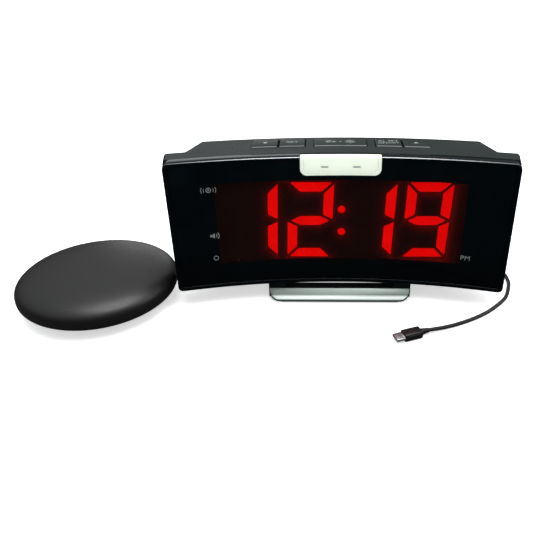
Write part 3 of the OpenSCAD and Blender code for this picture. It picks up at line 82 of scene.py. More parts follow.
# Millimetres: depths behind the face's arc, heights above the table, places across, and roundings
LENS_FRONT, LENS_BACK = 0.1, 2.1
LENS_CORNER, LENS_TOP_CORNER, LENS_EDGE = 0.6, 2.3, 0.25
FILM_FRONT, FILM_BACK = 2.2, 2.8
MODULE_FRONT, SEGMENT_DEPTH = 3.4, 2.5
WINDOW_HALF, WINDOW_HALF_H = 73.35, 25.225
WINDOW_RISE, FILM_RISE, FILM_EDGE = 2.3, 0.8, 1.5
DIGIT_X, COLON_X = (-51.8, -18.3, 19.1, 52.6), 0.8
FLASH_LAMP_X, FLASH_LAMP_SIZE = 9.3, (4.4, 1.1)
FLASH_GAP, FLASH_EDGE = 0.1, 0.8
BEZEL_FRONT_EDGE, BEZEL_BACK_EDGE, BEZEL_INNER_EDGE = 0.35, 0.3, 0.15
# Depth of the bands along the bezel's top edges that carry painted highlights, and height of the bridge
# behind the flash lens
HIGHLIGHT_EDGE_DEPTH, BRIDGE_HEIGHT = 0.36, 2.2
INK_DEPTH, KEY_INK_DEPTH = 0.1, 0.08
KEY_X = {"down_key": -45.65, "set_key": -29.15, "snooze_key": 0.0, "alarm_key": 29.15, "up_key": 45.65}
KEY_LOW, KEY_CORNER, KEY_HIGHLIGHT_BAND, KEY_SKIRT, SKIRT_HEIGHT, STEM_RADIUS = 90.6, 0.8, 0.9, 1.4, 1.3, 2
TRIM_PLACE, TRIM_TOP = (0.0, -5.8, 1.2), 7.8
TRIM_THICK, TRIM_TAPER, TRIM_CORNER, TRIM_TOP_CORNER, TRIM_EDGE = 0.9, 2.2, 7.2, 0.6, 0.3
PAD_MIDDLE, PAD_LOW, SEAM_GAP = (-154.0, -2.0), 0.5, 0.12
# Places of the signs across and above the middle of the face
SHAKER_SIGN, SOUNDER_SIGN, RING_SIGN, PM_SIGN = (-76.3, 24), (-75, -5.3), (-75.7, -20.4), (76, -20)
# The lead's way from its plug to the coil, the coil, and the way on to the far end
START_ROUTE = [
    (50, 69.31, 28), (50, 74.31, 27.5), (50, 78, 23), (50, 83, 14.5), (50, 88, 6.5),
    (50, 94, 2.8), (50, 99, 2.3), (50, 101.6, 2.3),
]
COIL_CENTRE, COIL_LOW = (69.6, 104.0), 2.3
RUN_ROUTE = [
    (89.2, 101.6, 5.2), (89.2, 96, 5.2), (89.4, 90, 4.8), (90, 82, 2.6), (91.2, 74, 1.4),
    (93.5, 65, 1.3), (97.8, 56, 1.3), (103.5, 47, 1.3), (109.5, 38.5, 1.3), (113.5, 30, 1.3),
    (113.8, 20, 1.3), (111.8, 12, 1.3), (107.5, 1, 1.3), (102, -6.5, 1.3), (95, -14, 1.3),
    (88, -20, 1.3), (79, -26, 1.3), (70, -30.8, 1.3), (62, -34.4, 1.6), (56.2, -36.9, 2.2),
    (52, -38.6, 2.6),
]
PLUG_END = Vector(START_ROUTE[0])

# Steps in a stretch of the route, in a turn of the coil, on half its climb and in the pad's section
ROUTE_STEPS, COIL_STEPS, COIL_CLIMB, PAD_STEPS = 4, 24, 6, 96
# Segments that are lit in each digit
LIT = ("bc", "abged", "bc", "abcdfg")
# Strength and reach of the light round the segments
GLOW = ((0.5, 1.6), (0.035, 9))
# Height of a capital letter as a share of the font's size
CAPITAL_HEIGHT = 0.7
TRIM_SLOPE = math.radians(48)

# Pitch, yaw and roll in degrees, place in metres, lens and sensor in millimetres, and sideways shift
CAMERA_TURN, CAMERA_PLACE = (29.468, -1.317, -0.455), (-0.00483, -0.32995, 0.20757)
CAMERA_LENS, CAMERA_SENSOR, CAMERA_SHIFT = 40, 36, -50 / 540
# Lamps: name, place and aim in metres, width in metres and power in watts
LAMPS = (
    ("top_lamp", (0.1, -0.12, 0.95), (0, 0.02, 0.05), 0.8, 10.5),
    ("side_lamp", (0.95, 0.1, 0.55), (0, 0, 0.05), 0.6, 2.5),
    ("rear_lamp", (-0.25, 1.0, 0.14), (0, 0.05, 0.05), 0.5, 0.8),
)
FLOOR_REACH, FLOOR_DROP = 6.0, 0.0002


def metres(label, note, value):
    """A length that a user can change."""
    return bpy.props.FloatProperty(
        name=label, description=note, default=value, subtype="DISTANCE", unit="LENGTH", precision=5
    )


def number(label, note, value, low, high, **unit):
    """A number that a user can change, between two limits."""
    return bpy.props.FloatProperty(name=label, description=note, default=value, min=low, max=high, **unit)


def paint(label, note, value):
    """A colour that a user can change."""
    return bpy.props.FloatVectorProperty(
        name=label, description=note, default=value, subtype="COLOR", size=3, min=0, max=1
    )


class ClockBodySizes(bpy.types.PropertyGroup):
    """Sizes of the curved clock."""

    width: metres("Width", "Width of the curved face", 0.2)
    height: metres("Height", "Height of the curved face", 0.0829)
    lift: metres("Lift", "Gap between the table and the body", 0.0124)
    radius: metres("Face radius", "Radius of the hollow face", 0.382)
    bezel_depth: metres("Bezel depth", "Depth of the front bezel", 0.0077)
    corner_top: metres("Upper corners", "Radius of the upper corners of the face", 0.0036)
    corner_bottom: metres("Lower corners", "Radius of the lower corners of the face", 0.003)
    rim: metres("Rim", "Width of the rim round the lens", 0.0026)
    flash_width: metres("Flash lens width", "Width of the flash lens", 0.047)
    flash_height: metres("Flash lens height", "Height of the flash lens", 0.0114)
    flash_corner: metres("Flash lens corners", "Radius of its lower corners", 0.004)
    flash_depth: metres("Flash lens depth", "Depth of the flash lens from front to back", 0.0047)
    flare: number("Flare", "Angle at which the sides open out to the back", math.radians(11), 0, 0.3,
                  subtype="ANGLE", unit="ROTATION")


class ClockDigitSizes(bpy.types.PropertyGroup):
    """Sizes of the large digits."""

    height: metres("Height", "Height of a digit", 0.04945)
    width: metres("Width", "Width of a digit", 0.0273)
    segment: metres("Segment", "Width of a segment", 0.0059)
    gap: metres("Gap", "Gap between two segments", 0.0017)
    corner: metres("Corners", "Rounding of a segment's corners", 0.0012)
    dot: metres("Colon dot", "Diameter of a colon dot", 0.0045)
    dot_rise: metres("Colon rise", "Height of a dot above or below the middle", 0.0074)
    lean: number("Lean", "Sideways lean for each unit of height", 0.04, 0, 0.2)


class ClockKeySizes(bpy.types.PropertyGroup):
    """Sizes of the five keys."""

    width: metres("Width", "Width of a small key", 0.0155)
    wide: metres("Middle width", "Width of the middle key", 0.032)
    front: metres("Front", "Depth behind the face at which the keys start", 0.0194)
    depth: metres("Depth", "Depth of a key from front to back", 0.0154)
    top: metres("Top", "Height of a key's top above the table", 0.0958)
    edge: metres("Edge", "Rounding of a key's upper edges", 0.0006)


class ClockPadSizes(bpy.types.PropertyGroup):
    """Sizes of the shaker pad."""

    diameter: metres("Diameter", "Diameter of the pad", 0.099)
    top: metres("Top", "Height of the pad's top above the table", 0.0266)
    seam: metres("Seam", "Height of the seam between the shells", 0.0095)
    wall: metres("Wall", "Thickness of the shells", 0.0022)
    power: number("Roundness", "Power of the section's curve, where 2 is an ellipse", 2.5, 2, 4)


class ClockLeadSizes(bpy.types.PropertyGroup):
    """Sizes of the charging lead."""

    diameter: metres("Diameter", "Diameter of the lead", 0.0024)
    coil: metres("Coil radius", "Radius of the coil's outer turn", 0.0196)
    step: metres("Step", "Distance between two turns", 0.0029)
    turns: number("Turns", "Number of turns in the coil", 8.5, 1, 20)


class ClockColours(bpy.types.PropertyGroup):
    """Colours of the main finishes."""

    gloss: paint("Front", "Colour of the glossy front", (0.0016, 0.0036, 0.0048))
    window: paint("Window", "Tint of the display window", (0.0175, 0.0066, 0.0064))
    housing: paint("Housing", "Colour of the matt housing", (0.0110, 0.0155, 0.0146))
    keys: paint("Keys", "Colour of the keys", (0.0100, 0.0140, 0.0132))
    digits: paint("Digits", "Colour of the lit digits", (1.0, 0.0, 0.0))
    lamp: paint("Flash lens", "Colour of the flash lens", (0.92, 0.97, 0.88))
    silver: paint("Silver", "Colour of the foot's silver front", (0.17, 0.205, 0.185))
    pad: paint("Pad", "Colour of the shaker pad", (0.0045, 0.0045, 0.0047))
    ink: paint("Ink", "Colour of the printed signs", (0.30, 0.325, 0.31))
    lead: paint("Lead", "Colour of the lead", (0.008, 0.008, 0.008))


GROUPS = {
    "clock_body": ClockBodySizes,
    "clock_digits": ClockDigitSizes,
    "clock_keys": ClockKeySizes,
    "clock_pad": ClockPadSizes,
    "clock_lead": ClockLeadSizes,
    "clock_colours": ClockColours,
}


def size(group, name):
    """A size of the scene in millimetres."""
    return getattr(getattr(bpy.context.scene, group), name) / MM


def sizes(group, *names):
    return [size(group, name) for name in names]


def set_up(made, **settings):
    for name, value in settings.items():
        setattr(made, name, value)
    return made


def placed(name, data):
    """A new object in the scene."""
    made = bpy.data.objects.new(name, data)
    bpy.context.scene.collection.objects.link(made)
    return made


def empty_tree(owner):
    """The node tree of a material or a world, with no nodes."""
    owner.use_nodes = True
    owner.node_tree.nodes.clear()
    return owner.node_tree


def cad_box(name):
    """Two corners of a CAD node's box, in millimetres."""
    return [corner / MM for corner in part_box(name)]


def colour(name):
    """A colour of the scene, with its alpha."""
    return (*getattr(bpy.context.scene.clock_colours, name), 1.0)


# Materials


# Plain finishes by name: colour, or the name of one that a user can change, roughness, specular level,
# metallic, grain in waves for each metre, the grain's depth and the edges' rounding in millimetres,
# and how far the colour varies
PLAIN = {
    "gloss_front": ("gloss", 0.12, 0.5, 0, 260, 0.004, 0.1, 0.2),
    "gloss_lens": ("gloss", 0.09, 0.06, 0, 120, 0.002, 0.1, 0.3),
    # Painted highlight: a light colour on the bezel's top front bevel, standing in for the bright line that
    # light makes there
    "painted_highlight_front_edge": ((0.72, 0.73, 0.76), 0.2, 0.8, 0, 300, 0.01, 0.05, 0),
    # Painted highlight: a light grey line on the bezel's top back bevel, where it meets the housing
    "painted_highlight_seam_edge": ((0.10, 0.115, 0.11), 0.4, 0.3, 0, 600, 0.01, 0.05, 0.5),
    "matt_housing": ("housing", 0.48, 0.18, 0, 2600, 0.03, 0.35, 0.12),
    "matt_keys": ("keys", 0.44, 0.2, 0, 3000, 0.02, 0.2, 0.12),
    # Painted highlight along the keys' top front edges
    "painted_highlight_key_edge": ((0.085, 0.095, 0.093), 0.36, 0.5, 0, 2400, 0.01, 0.05, 0.12),
    "key_ink": ((0.32, 0.35, 0.33), 0.5, 0.3, 0, 2400, 0.01, 0.02, 0.12),
    "printed_ink": ("ink", 0.5, 0.3, 0, 2400, 0.01, 0.02, 0.2),
    # Darker marks on the flash lens: partly the lamps' own colour, partly painted shade of the walls behind
    "painted_see_through_shade": ((0.74, 0.82, 0.70), 0.4, 0.3, 0, 900, 0.005, 0.02, 0.12),
    "satin_pad": ("pad", 0.40, 0.5, 0, 2200, 0.012, 0.3, 0.1),
    # Satin silver whose colour carries a painted highlight band and a painted shade line low down
    "satin_silver_painted_band": ("silver", 0.38, 0.5, 0.8, 1800, 0.006, 0.25, 0),
    "lead_jacket": ("lead", 0.38, 0.4, 0, 900, 0.02, 0.1, 0.12),
    "woven_strap": ((0.02, 0.02, 0.021), 0.8, 0.2, 0, 1500, 0.12, 0.05, 0.12),
    "rubber": ((0.010, 0.010, 0.010), 0.75, 0.25, 0, 2600, 0.04, 0.25, 0.12),
    "moulded_part": ((0.014, 0.015, 0.016), 0.4, 0.4, 0, 2000, 0.015, 0.25, 0.12),
    "light_moulding": ((0.52, 0.54, 0.53), 0.4, 0.45, 0, 1800, 0.012, 0.2, 0.12),
    "screw_steel": ((0.42, 0.44, 0.45), 0.3, 0.5, 1, 900, 0.008, 0.2, 0.12),
    "plated_metal": ((0.62, 0.63, 0.65), 0.4, 0.5, 1, 700, 0.006, 0.12, 0.12),
    "weight_metal": ((0.25, 0.22, 0.19), 0.42, 0.5, 0.9, 800, 0.03, 0.3, 0.12),
    "cone_paper": ((0.025, 0.023, 0.02), 0.85, 0.2, 0, 1400, 0.09, 0.1, 0.12),
    "ferrite": ((0.045, 0.047, 0.05), 0.6, 0.35, 0, 1100, 0.05, 0.3, 0.12),
    "reflector_tray": ((0.86, 0.90, 0.86), 0.35, 0.5, 0, 900, 0.01, 0.1, 0.12),
    "display_module": ((0.006, 0.004, 0.004), 0.5, 0.2, 0, 1600, 0.02, 0.1, 0.12),
    "dark_segment": ((0.012, 0.004, 0.004), 0.45, 0.25, 0, 700, 0.01, 0.1, 0.12),
    "chip_resin": ((0.06, 0.065, 0.06), 0.35, 0.45, 0, 1200, 0.01, 0.1, 0.12),
    "ribbon_jacket": ((0.5, 0.52, 0.55), 0.45, 0.5, 0, 1400, 0.08, 0.1, 0.12),
}
# Finishes whose grain is drawn out along an axis
STRETCH = {"satin_silver_painted_band": (0.08, 1, 1), "ribbon_jacket": (1, 0.02, 0.02)}

# Nodes of the CAD model that keep their shape, by their finish
NODE_FINISHES = {
    "matt_housing": ("rear_housing", "battery_door", "foot_base"),
    "rubber": ("front_foot_pad", "rear_foot_pads", "pad_base", "pad_gland"),
    "screw_steel": ("foot_screws", "housing_screws", "board_screws", "speaker_frame", "volume_pot",
                    "tone_pot", "mode_switch", "pad_motor", "pad_screws"),
    "plated_metal": ("usb_port", "battery_contacts", "motor_clamp", "motor_shaft"),
    "weight_metal": ("eccentric_weight",),
    "cone_paper": ("speaker_cone",),
    "ferrite": ("speaker_magnet",),
    "circuit_board": ("main_board", "display_board", "flash_board", "key_board"),
    "moulded_part": ("board_parts", "volume_knob", "tone_knob", "power_jack", "shaker_jack", "key_switches"),
    "light_moulding": ("mode_slider",),
    "ribbon_jacket": ("ribbon_cable",),
    "reflector_tray": ("flash_reflector",),
    "chip_resin": ("flash_leds",),
    "display_module": ("led_module",),
    "dark_segment": ("dark_segments", "indicator_leds"),
    "lead_jacket": ("usb_plug",),
}


def node(tree, kind, values=(), **settings):
    """A new shader node with some settings, and with its sockets filled."""
    made = set_up(tree.nodes.new("ShaderNode" + kind), **settings)
    fill(made, dict(values))
    return made


def fill(made, values):
    """Gives a node's sockets their values, or links them to the outputs of other nodes."""
    for name, value in values.items():
        if isinstance(value, bpy.types.NodeSocket):
            made.id_data.links.new(value, made.inputs[name])
        else:
            made.inputs[name].default_value = value


def coordinates(tree):
    return node(tree, "TexCoord").outputs["Object"]


def noise(tree, scale, detail=2.0, stretch=(1, 1, 1)):
    """A noise over the object's own coordinates, its scale in waves for each metre."""
    place = node(tree, "Mapping", {"Vector": coordinates(tree), "Scale": stretch}).outputs["Vector"]
    return node(tree, "TexNoise", {"Vector": place, "Scale": scale, "Detail": detail}).outputs["Fac"]


def rescale(tree, value, from_low, from_high, low=0, high=1):
    """A value drawn out from one range to another."""
    values = {"Value": value, "From Min": from_low, "From Max": from_high, "To Min": low, "To Max": high}
    return node(tree, "MapRange", values).outputs["Result"]


def cloud(tree, scale, detail=2.0):
    """Soft blotches from 0 to 1."""
    return rescale(tree, noise(tree, scale, detail), 0.3, 0.7)


def two_tone(tree, value, dark, light):
    """A colour between two, by a value."""
    return node(tree, "Mix", {0: value, 6: dark, 7: light}, data_type="RGBA").outputs[2]


def along(tree, axis, low, high):
    """From 0 to 1 as the distance from the plane through the origin goes from low to high."""
    split = node(tree, "SeparateXYZ", {"Vector": coordinates(tree)})
    away = node(tree, "Math", {0: split.outputs[axis]}, operation="ABSOLUTE")
    return rescale(tree, away.outputs[0], low * MM, high * MM)


def tinted(base, factor):
    """A colour made darker or lighter."""
    return (*[min(1.0, c * factor) for c in base[:3]], 1.0)


def raise_grain(tree, shader, height, depth, strength=1.0):
    """Makes a value the bump of a finish, its depth in millimetres."""
    bump = node(tree, "Bump", {"Strength": strength, "Distance": depth * MM, "Height": height})
    fill(shader, {"Normal": bump.outputs["Normal"]})
    return bump


def highlight_fading_sideways(tree, base):
    """Painted highlight along the front's top edge, fading towards the sides."""
    return two_tone(tree, along(tree, "X", 38, 92), base, (0.05, 0.055, 0.055, 1))


def silver_with_painted_highlight_band(tree, base):
    """Silver with a painted highlight band low down and painted shade on its lowest edge."""
    dark, bright = (0.03, 0.05, 0.05, 1), (0.92, 1.0, 0.95, 1)
    bands = node(tree, "ValToRGB")
    stops = bands.color_ramp.elements
    stops[0].position, stops[0].color = 0.10, dark
    stops[1].position, stops[1].color = 1.0, base
    for place, shade in ((0.20, bright), (0.34, bright), (0.50, base)):
        stops.new(place).color = shade
    fill(bands, {"Fac": along(tree, "Z", TRIM_PLACE[2], TRIM_TOP)})
    return bands.outputs["Color"]


# Finishes whose colour carries painted light by place: highlights and shade
PAINTED_LIGHT_BY_PLACE = {"painted_highlight_front_edge": highlight_fading_sideways, "satin_silver_painted_band": silver_with_painted_highlight_band}


def surface(tree, shader, name):
    """A plain finish: soft blotches of colour, or for some finishes painted light by place, uneven gloss, a
    fine grain and worn, rounded edges.
    """
    base, rough, specular, metallic, grain, depth, edge, blotch = PLAIN[name]
    base = colour(base) if isinstance(base, str) else (*base, 1)
    stretch = STRETCH.get(name, (1, 1, 1))
    # Some finishes take a colour with painted light by place instead of random blotches
    if name in PAINTED_LIGHT_BY_PLACE:
        tone = PAINTED_LIGHT_BY_PLACE[name](tree, base)
    else:
        tone = two_tone(tree, cloud(tree, 45, 3.0), tinted(base, 1 - blotch), tinted(base, 1 + blotch))
    uneven = noise(tree, grain * 0.3, 2.0, stretch)
    gloss = rescale(tree, uneven, 0.3, 0.7, max(0.02, rough - 0.05), min(1, rough + 0.05))
    fill(shader, {"Base Color": tone, "Roughness": gloss, "Metallic": metallic,
                  "Specular IOR Level": specular})
    bump = raise_grain(tree, shader, noise(tree, grain, 2.0, stretch), depth, 0.6)
    fill(bump, {"Normal": node(tree, "Bevel", {"Radius": edge * MM}, samples=4).outputs["Normal"]})


def circuit_board(tree, shader):
    """Solder mask with copper tracks under it."""
    turned = node(tree, "Mapping", {"Vector": coordinates(tree), "Rotation": (math.radians(90), 0, 0)})
    tracks = node(tree, "TexBrick", {
        "Vector": turned.outputs["Vector"], "Scale": 160, "Mortar Size": 0.06,
        "Mortar": (0.03, 0.17, 0.06, 1), "Color1": (0.012, 0.10, 0.035, 1), "Color2": (0.010, 0.085, 0.03, 1),
    })
    fill(shader, {"Roughness": 0.3, "Base Color": tracks.outputs["Color"]})
    raise_grain(tree, shader, tracks.outputs["Fac"], 0.03)


def lit_segment(tree, shader):
    """Segments that glow, a little unevenly."""
    base = colour("digits")
    uneven = cloud(tree, 120, 1.0)
    fill(shader, {
        "Roughness": 0.4, "Base Color": two_tone(tree, uneven, tinted(base, 0.5), tinted(base, 0.6)),
        "Emission Strength": 2.3, "Emission Color": two_tone(tree, uneven, tinted(base, 0.9), base),
    })


def red_film(tree, shader):
    """Clear red film that lights up round the lit segments, by its glow attribute."""
    base = colour("window")
    tone = two_tone(tree, cloud(tree, 60), tinted(base, 1.5), tinted(base, 2.2))
    glow = node(tree, "Attribute", attribute_name="glow").outputs["Fac"]
    light = two_tone(tree, glow, (0.006, 0.001, 0.001, 1), colour("digits"))
    fill(shader, {"Roughness": 0.5, "Specular IOR Level": 0.1, "Alpha": 0.25, "Base Color": tone,
                  "Emission Strength": 0.5, "Emission Color": light})


def smoked_window(tree, shader):
    """Smoked window of the lens, which the digits show through."""
    base = colour("window")
    tone = two_tone(tree, cloud(tree, 30), tinted(base, 0.8), tinted(base, 1.2))
    fill(shader, {"Roughness": 0.08, "Specular IOR Level": 0.06, "Alpha": 0.3, "Base Color": tone})


def frosted_lens(tree, shader):
    """Frosted white of the flash lens, with the lamps faint behind it, and a painted glow as if lit from the
    front.
    """
    base = colour("lamp")
    fill(shader, {
        "Base Color": two_tone(tree, cloud(tree, 200), tinted(base, 0.97), base), "Roughness": 0.22,
        "Specular IOR Level": 0.4, "Subsurface Weight": 0.1, "Subsurface Scale": 0.002, "Alpha": 0.7,
        # Painted glow: the lens shines as if lit from the front, though its lamps are off
        "Emission Color": (0.90, 1.0, 0.84, 1), "Emission Strength": 0.47,
    })
    raise_grain(tree, shader, noise(tree, 1500), 0.01)


def pale_floor(tree, shader):
    """Floor that is as white as the sky to the camera and keeps faint shadows, but dark to other rays."""
    seen = node(tree, "LightPath").outputs["Is Camera Ray"]
    tone = two_tone(tree, seen, (0.07, 0.07, 0.07, 1), (0.93, 0.93, 0.93, 1))
    fill(shader, {"Roughness": 0.9, "Specular IOR Level": 0.0, "Base Color": tone})
    nothing, lift = (node(tree, "Emission", {"Strength": light}).outputs[0] for light in (0, 0.58))
    pick = node(tree, "MixShader", {"Fac": seen, 1: nothing, 2: lift})
    both = node(tree, "AddShader", {0: shader.outputs[0], 1: pick.outputs[0]})
    fill(shader.outputs["BSDF"].links[0].to_node, {"Surface": both.outputs[0]})


SPECIAL = {made.__name__: made
           for made in (circuit_board, lit_segment, red_film, smoked_window, frosted_lens, pale_floor)}


def finish(name):
    """A finish by its name, made when it is first asked for."""
    made = bpy.data.materials.get(name)
    if made:
        return made
    made = bpy.data.materials.new(name)
    tree = empty_tree(made)
    shader = node(tree, "BsdfPrincipled")
    node(tree, "OutputMaterial", {"Surface": shader.outputs["BSDF"]})
    if name in PLAIN:
        surface(tree, shader, name)
    else:
        SPECIAL[name](tree, shader)
    return made


# Working a mesh


def made_mesh(bm, name):
    """Turns a working mesh into a mesh of the scene."""
    mesh = bpy.data.meshes.new(name)
    bm.to_mesh(mesh)
    bm.free()
    return mesh


def keep_piece(bm, name, finishes, body, stands_for=(), smooth=40):
    """Turns a mesh worked in millimetres into a finished piece that rides on a body."""
    bmesh.ops.scale(bm, vec=(MM, MM, MM), verts=bm.verts[:])
    mesh = made_mesh(bm, name)
    for finish_name in finishes:
        mesh.materials.append(finish(finish_name))
    mesh.shade_smooth()
    mesh.set_sharp_from_angle(angle=math.radians(smooth))
    piece = placed(name, mesh)
    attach(piece, body)
    if stands_for:
        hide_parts(*stands_for)
    return piece


def face_out(bm):
    bmesh.ops.recalc_face_normals(bm, faces=bm.faces[:])


def everything(bm):
    return bm.verts[:] + bm.edges[:] + bm.faces[:]


def bevel(bm, geom, offset, segments, affect="EDGES"):
    return bmesh.ops.bevel(bm, geom=geom, offset=offset, offset_type="OFFSET", segments=segments, profile=0.5,
                           affect=affect, material=-1)


def panel(bm, corners, radii, steps=8):
    """A flat face in the plane of the clock's front, with its corners rounded."""
    verts = [bm.verts.new((x, 0, z)) for x, z in corners]
    bm.faces.new(verts)
    for radius in sorted(set(radii)):
        if radius > 0:
            bevel(bm, [v for v, r in zip(verts, radii) if r == radius], radius, steps, "VERTICES")
    return bm.faces[:]


def box_corners(x0, z0, x1, z1):
    return [(x0, z0), (x1, z0), (x1, z1), (x0, z1)]


def push_back(bm, depth):
    """Makes flat faces into a solid that reaches back by a depth."""
    made = bmesh.ops.extrude_face_region(bm, geom=bm.faces[:])
    verts = [g for g in made["geom"] if isinstance(g, bmesh.types.BMVert)]
    bmesh.ops.translate(bm, vec=(0, depth, 0), verts=verts)
    face_out(bm)


def ring(bm, corners, radii, width):
    """A flat frame of a width inside an outline with rounded corners."""
    inside = panel(bm, corners, radii)
    bmesh.ops.inset_region(bm, faces=inside, thickness=width, use_boundary=True, use_even_offset=True)
    bmesh.ops.delete(bm, geom=inside, context="FACES_ONLY")


def move(bm, *way):
    bmesh.ops.translate(bm, vec=way, verts=bm.verts[:])


def turn_by(bm, matrix):
    bmesh.ops.transform(bm, matrix=matrix, verts=bm.verts[:])


def tipped(place, angle=90):
    """Turns by an angle in degrees round the X axis, and moves to a place."""
    return Matrix.Translation(place) @ Matrix.Rotation(math.radians(angle), 4, "X")


def rim_edges(bm, y, keep=lambda edge: True):
    """Edges at a depth, where the front or back of a solid meets its sides."""
    return [e for e in bm.edges
            if all(abs(v.co.y - y) < 1e-4 for v in e.verts) and keep(e)
            and any(abs(f.normal.y) < 0.5 for f in e.link_faces)]


def cut_at(bm, places, across=(1, 0, 0)):
    """Cuts a mesh by planes across an axis, at some places on it."""
    for place in places:
        bmesh.ops.bisect_plane(bm, geom=everything(bm), dist=1e-4, plane_co=[place * a for a in across],
                               plane_no=across)


def slice_across(bm, step, reach):
    """Cuts a mesh into upright strips, so that it can bend."""
    count = int(reach / step)
    cut_at(bm, [i * step for i in range(-count, count + 1)])


def bend(bm, flare=0.0):
    """Bends a flat mesh round the centre of the hollow face: its depth goes onto the arc at that depth.
    With a flare, it also opens out to the sides with its depth."""
    half = size("clock_body", "width") / 2
    for v in bm.verts:
        out = 0
        for _ in range(3 if flare else 0):
            out = (arc_y(half + out, v.co.y) - arc_y(half, 0)) * math.tan(flare)
        v.co.x *= 1 + out / half
        v.co.y = arc_y(v.co.x, v.co.y)


def add_mesh(bm, mesh):
    bm.from_mesh(mesh)
    bpy.data.meshes.remove(mesh)


def merged(bm, other):
    """Adds one working mesh to another."""
    add_mesh(bm, made_mesh(other, "part"))


def cuboid(low, high, edge=0.0, segments=2):
    """A solid block between two corners, with its edges rounded."""
    bm = bmesh.new()
    bmesh.ops.create_cube(bm, size=1)
    span = [b - a for a, b in zip(low, high)]
    bmesh.ops.scale(bm, vec=span, verts=bm.verts[:])
    move(bm, *[(a + b) / 2 for a, b in zip(low, high)])
    if edge:
        bevel(bm, bm.edges[:], edge, segments)
    return bm


def lathe(profile, centre=(0, 0), steps=32):
    """A profile of (radius, height) points turned round an upright axis, closed where it meets it."""
    bm = bmesh.new()
    verts = [bm.verts.new((centre[0] + r, centre[1], h)) for r, h in profile]
    edges = [bm.edges.new(pair) for pair in zip(verts, verts[1:])]
    bmesh.ops.spin(bm, geom=verts + edges, cent=(*centre, 0), axis=(0, 0, 1), angle=2 * math.pi, steps=steps,
                   use_merge=True)
    bmesh.ops.remove_doubles(bm, verts=bm.verts[:], dist=1e-4)
    face_out(bm)
    return bm


def arc_stroke(bm, x, z, radius, width, start, turn, steps=16):
    """A printed arc in the plane of the front, from a start angle over a turn, in degrees."""
    a = math.radians(start)
    verts = [bm.verts.new((x + r * math.cos(a), 0, z + r * math.sin(a)))
             for r in (radius - width / 2, radius + width / 2)]
    edge = bm.edges.new(verts)
    bmesh.ops.spin(bm, geom=verts + [edge], cent=(x, 0, z), axis=(0, -1, 0), angle=math.radians(turn),
                   steps=steps, use_merge=turn == 360)


def stroke(bm, points):
    """A printed polygon in the plane of the front."""
    bm.faces.new([bm.verts.new((x, 0, z)) for x, z in points])


def lettering(bm, words, height, x, z, width):
    """Adds capital letters of a height and a width, in the plane of the front, centred on a place."""
    curve = set_up(bpy.data.curves.new("lettering", "FONT"), body=words, size=height / CAPITAL_HEIGHT,
                   align_x="CENTER", align_y="CENTER", resolution_u=3)
    holder = placed("lettering", curve)
    bpy.context.view_layer.update()
    mesh = bpy.data.meshes.new_from_object(holder.evaluated_get(bpy.context.evaluated_depsgraph_get()))
    bpy.data.objects.remove(holder)
    bpy.data.curves.remove(curve)
    across = [v.co.x for v in mesh.vertices]
    wider = width / (max(across) - min(across))
    mesh.transform(tipped((x, 0, z)) @ Matrix.Diagonal((wider, 1, 1, 1)))
    add_mesh(bm, mesh)


def print_on_front(bm, step, reach, y):
    """Gives signs in the plane of the front a thickness, and bends them onto it at a depth."""
    face_out(bm)
    push_back(bm, INK_DEPTH)
    slice_across(bm, step, reach)
    move(bm, 0, y, 0)
    bend(bm)


def arc_y(x, depth):
    """Y of the arc at a depth behind the face."""
    radius = size("clock_body", "radius")
    return math.sqrt((radius + depth) ** 2 - x * x) - radius


# Camera, lead and stage


class CLOCK_OT_camera(bpy.types.Operator):
    """Set the camera where the photograph was taken from"""

    bl_idname = "clock.camera"
    bl_label = "Camera"

    def execute(self, context):
        pitch, yaw, roll = (math.radians(a) for a in CAMERA_TURN)
        tilt = Matrix.Rotation(math.pi / 2 - pitch, 4, "X") @ Matrix.Rotation(roll, 4, "Z")
        camera = placed("camera", set_up(bpy.data.cameras.new("camera"), lens=CAMERA_LENS,
                                         sensor_width=CAMERA_SENSOR, shift_x=CAMERA_SHIFT))
        camera.matrix_world = Matrix.Translation(CAMERA_PLACE) @ Matrix.Rotation(-yaw, 4, "Z") @ tilt
        context.scene.camera = camera
        return {"FINISHED"}


def curve_point(a, b, c, d, t):
    """A point between b and c on the smooth curve through four points."""
    square, cube = (2 * a - 5 * b + 4 * c - d) * t * t, (3 * b - a - 3 * c + d) * t ** 3
    return 0.5 * (2 * b + (c - a) * t + square + cube)


def smooth_route(points):
    """A route with more points put in each stretch."""
    points = [Vector(p) for p in points]
    last = len(points) - 1
    made = []
    for i in range(last):
        a, d = points[max(i - 1, 0)], points[min(i + 2, last)]
        made += [curve_point(a, points[i], points[i + 1], d, s / ROUTE_STEPS) for s in range(ROUTE_STEPS)]
    return made + [points[last]]


def coil_route():
    """Coil that winds in to the middle and out again a layer higher, from the left to the right."""
    out, step, turns = sizes("clock_lead", "coil", "step", "turns")
    turns *= MM
    count = round(COIL_STEPS * turns)
    middle = count / 2
    points = []
    for i in range(count + 1):
        r = out - step * turns / 2 + step / COIL_STEPS * abs(i - middle)
        rise = max(-1.0, min(1.0, (i - middle) / COIL_CLIMB))
        z = COIL_LOW + step * (1 - math.cos(math.radians(90 + 90 * rise))) / 2
        a = math.radians(180 - 360 / COIL_STEPS * i)
        points.append(Vector((COIL_CENTRE[0] + r * math.cos(a), COIL_CENTRE[1] + r * math.sin(a), z)))
    return points


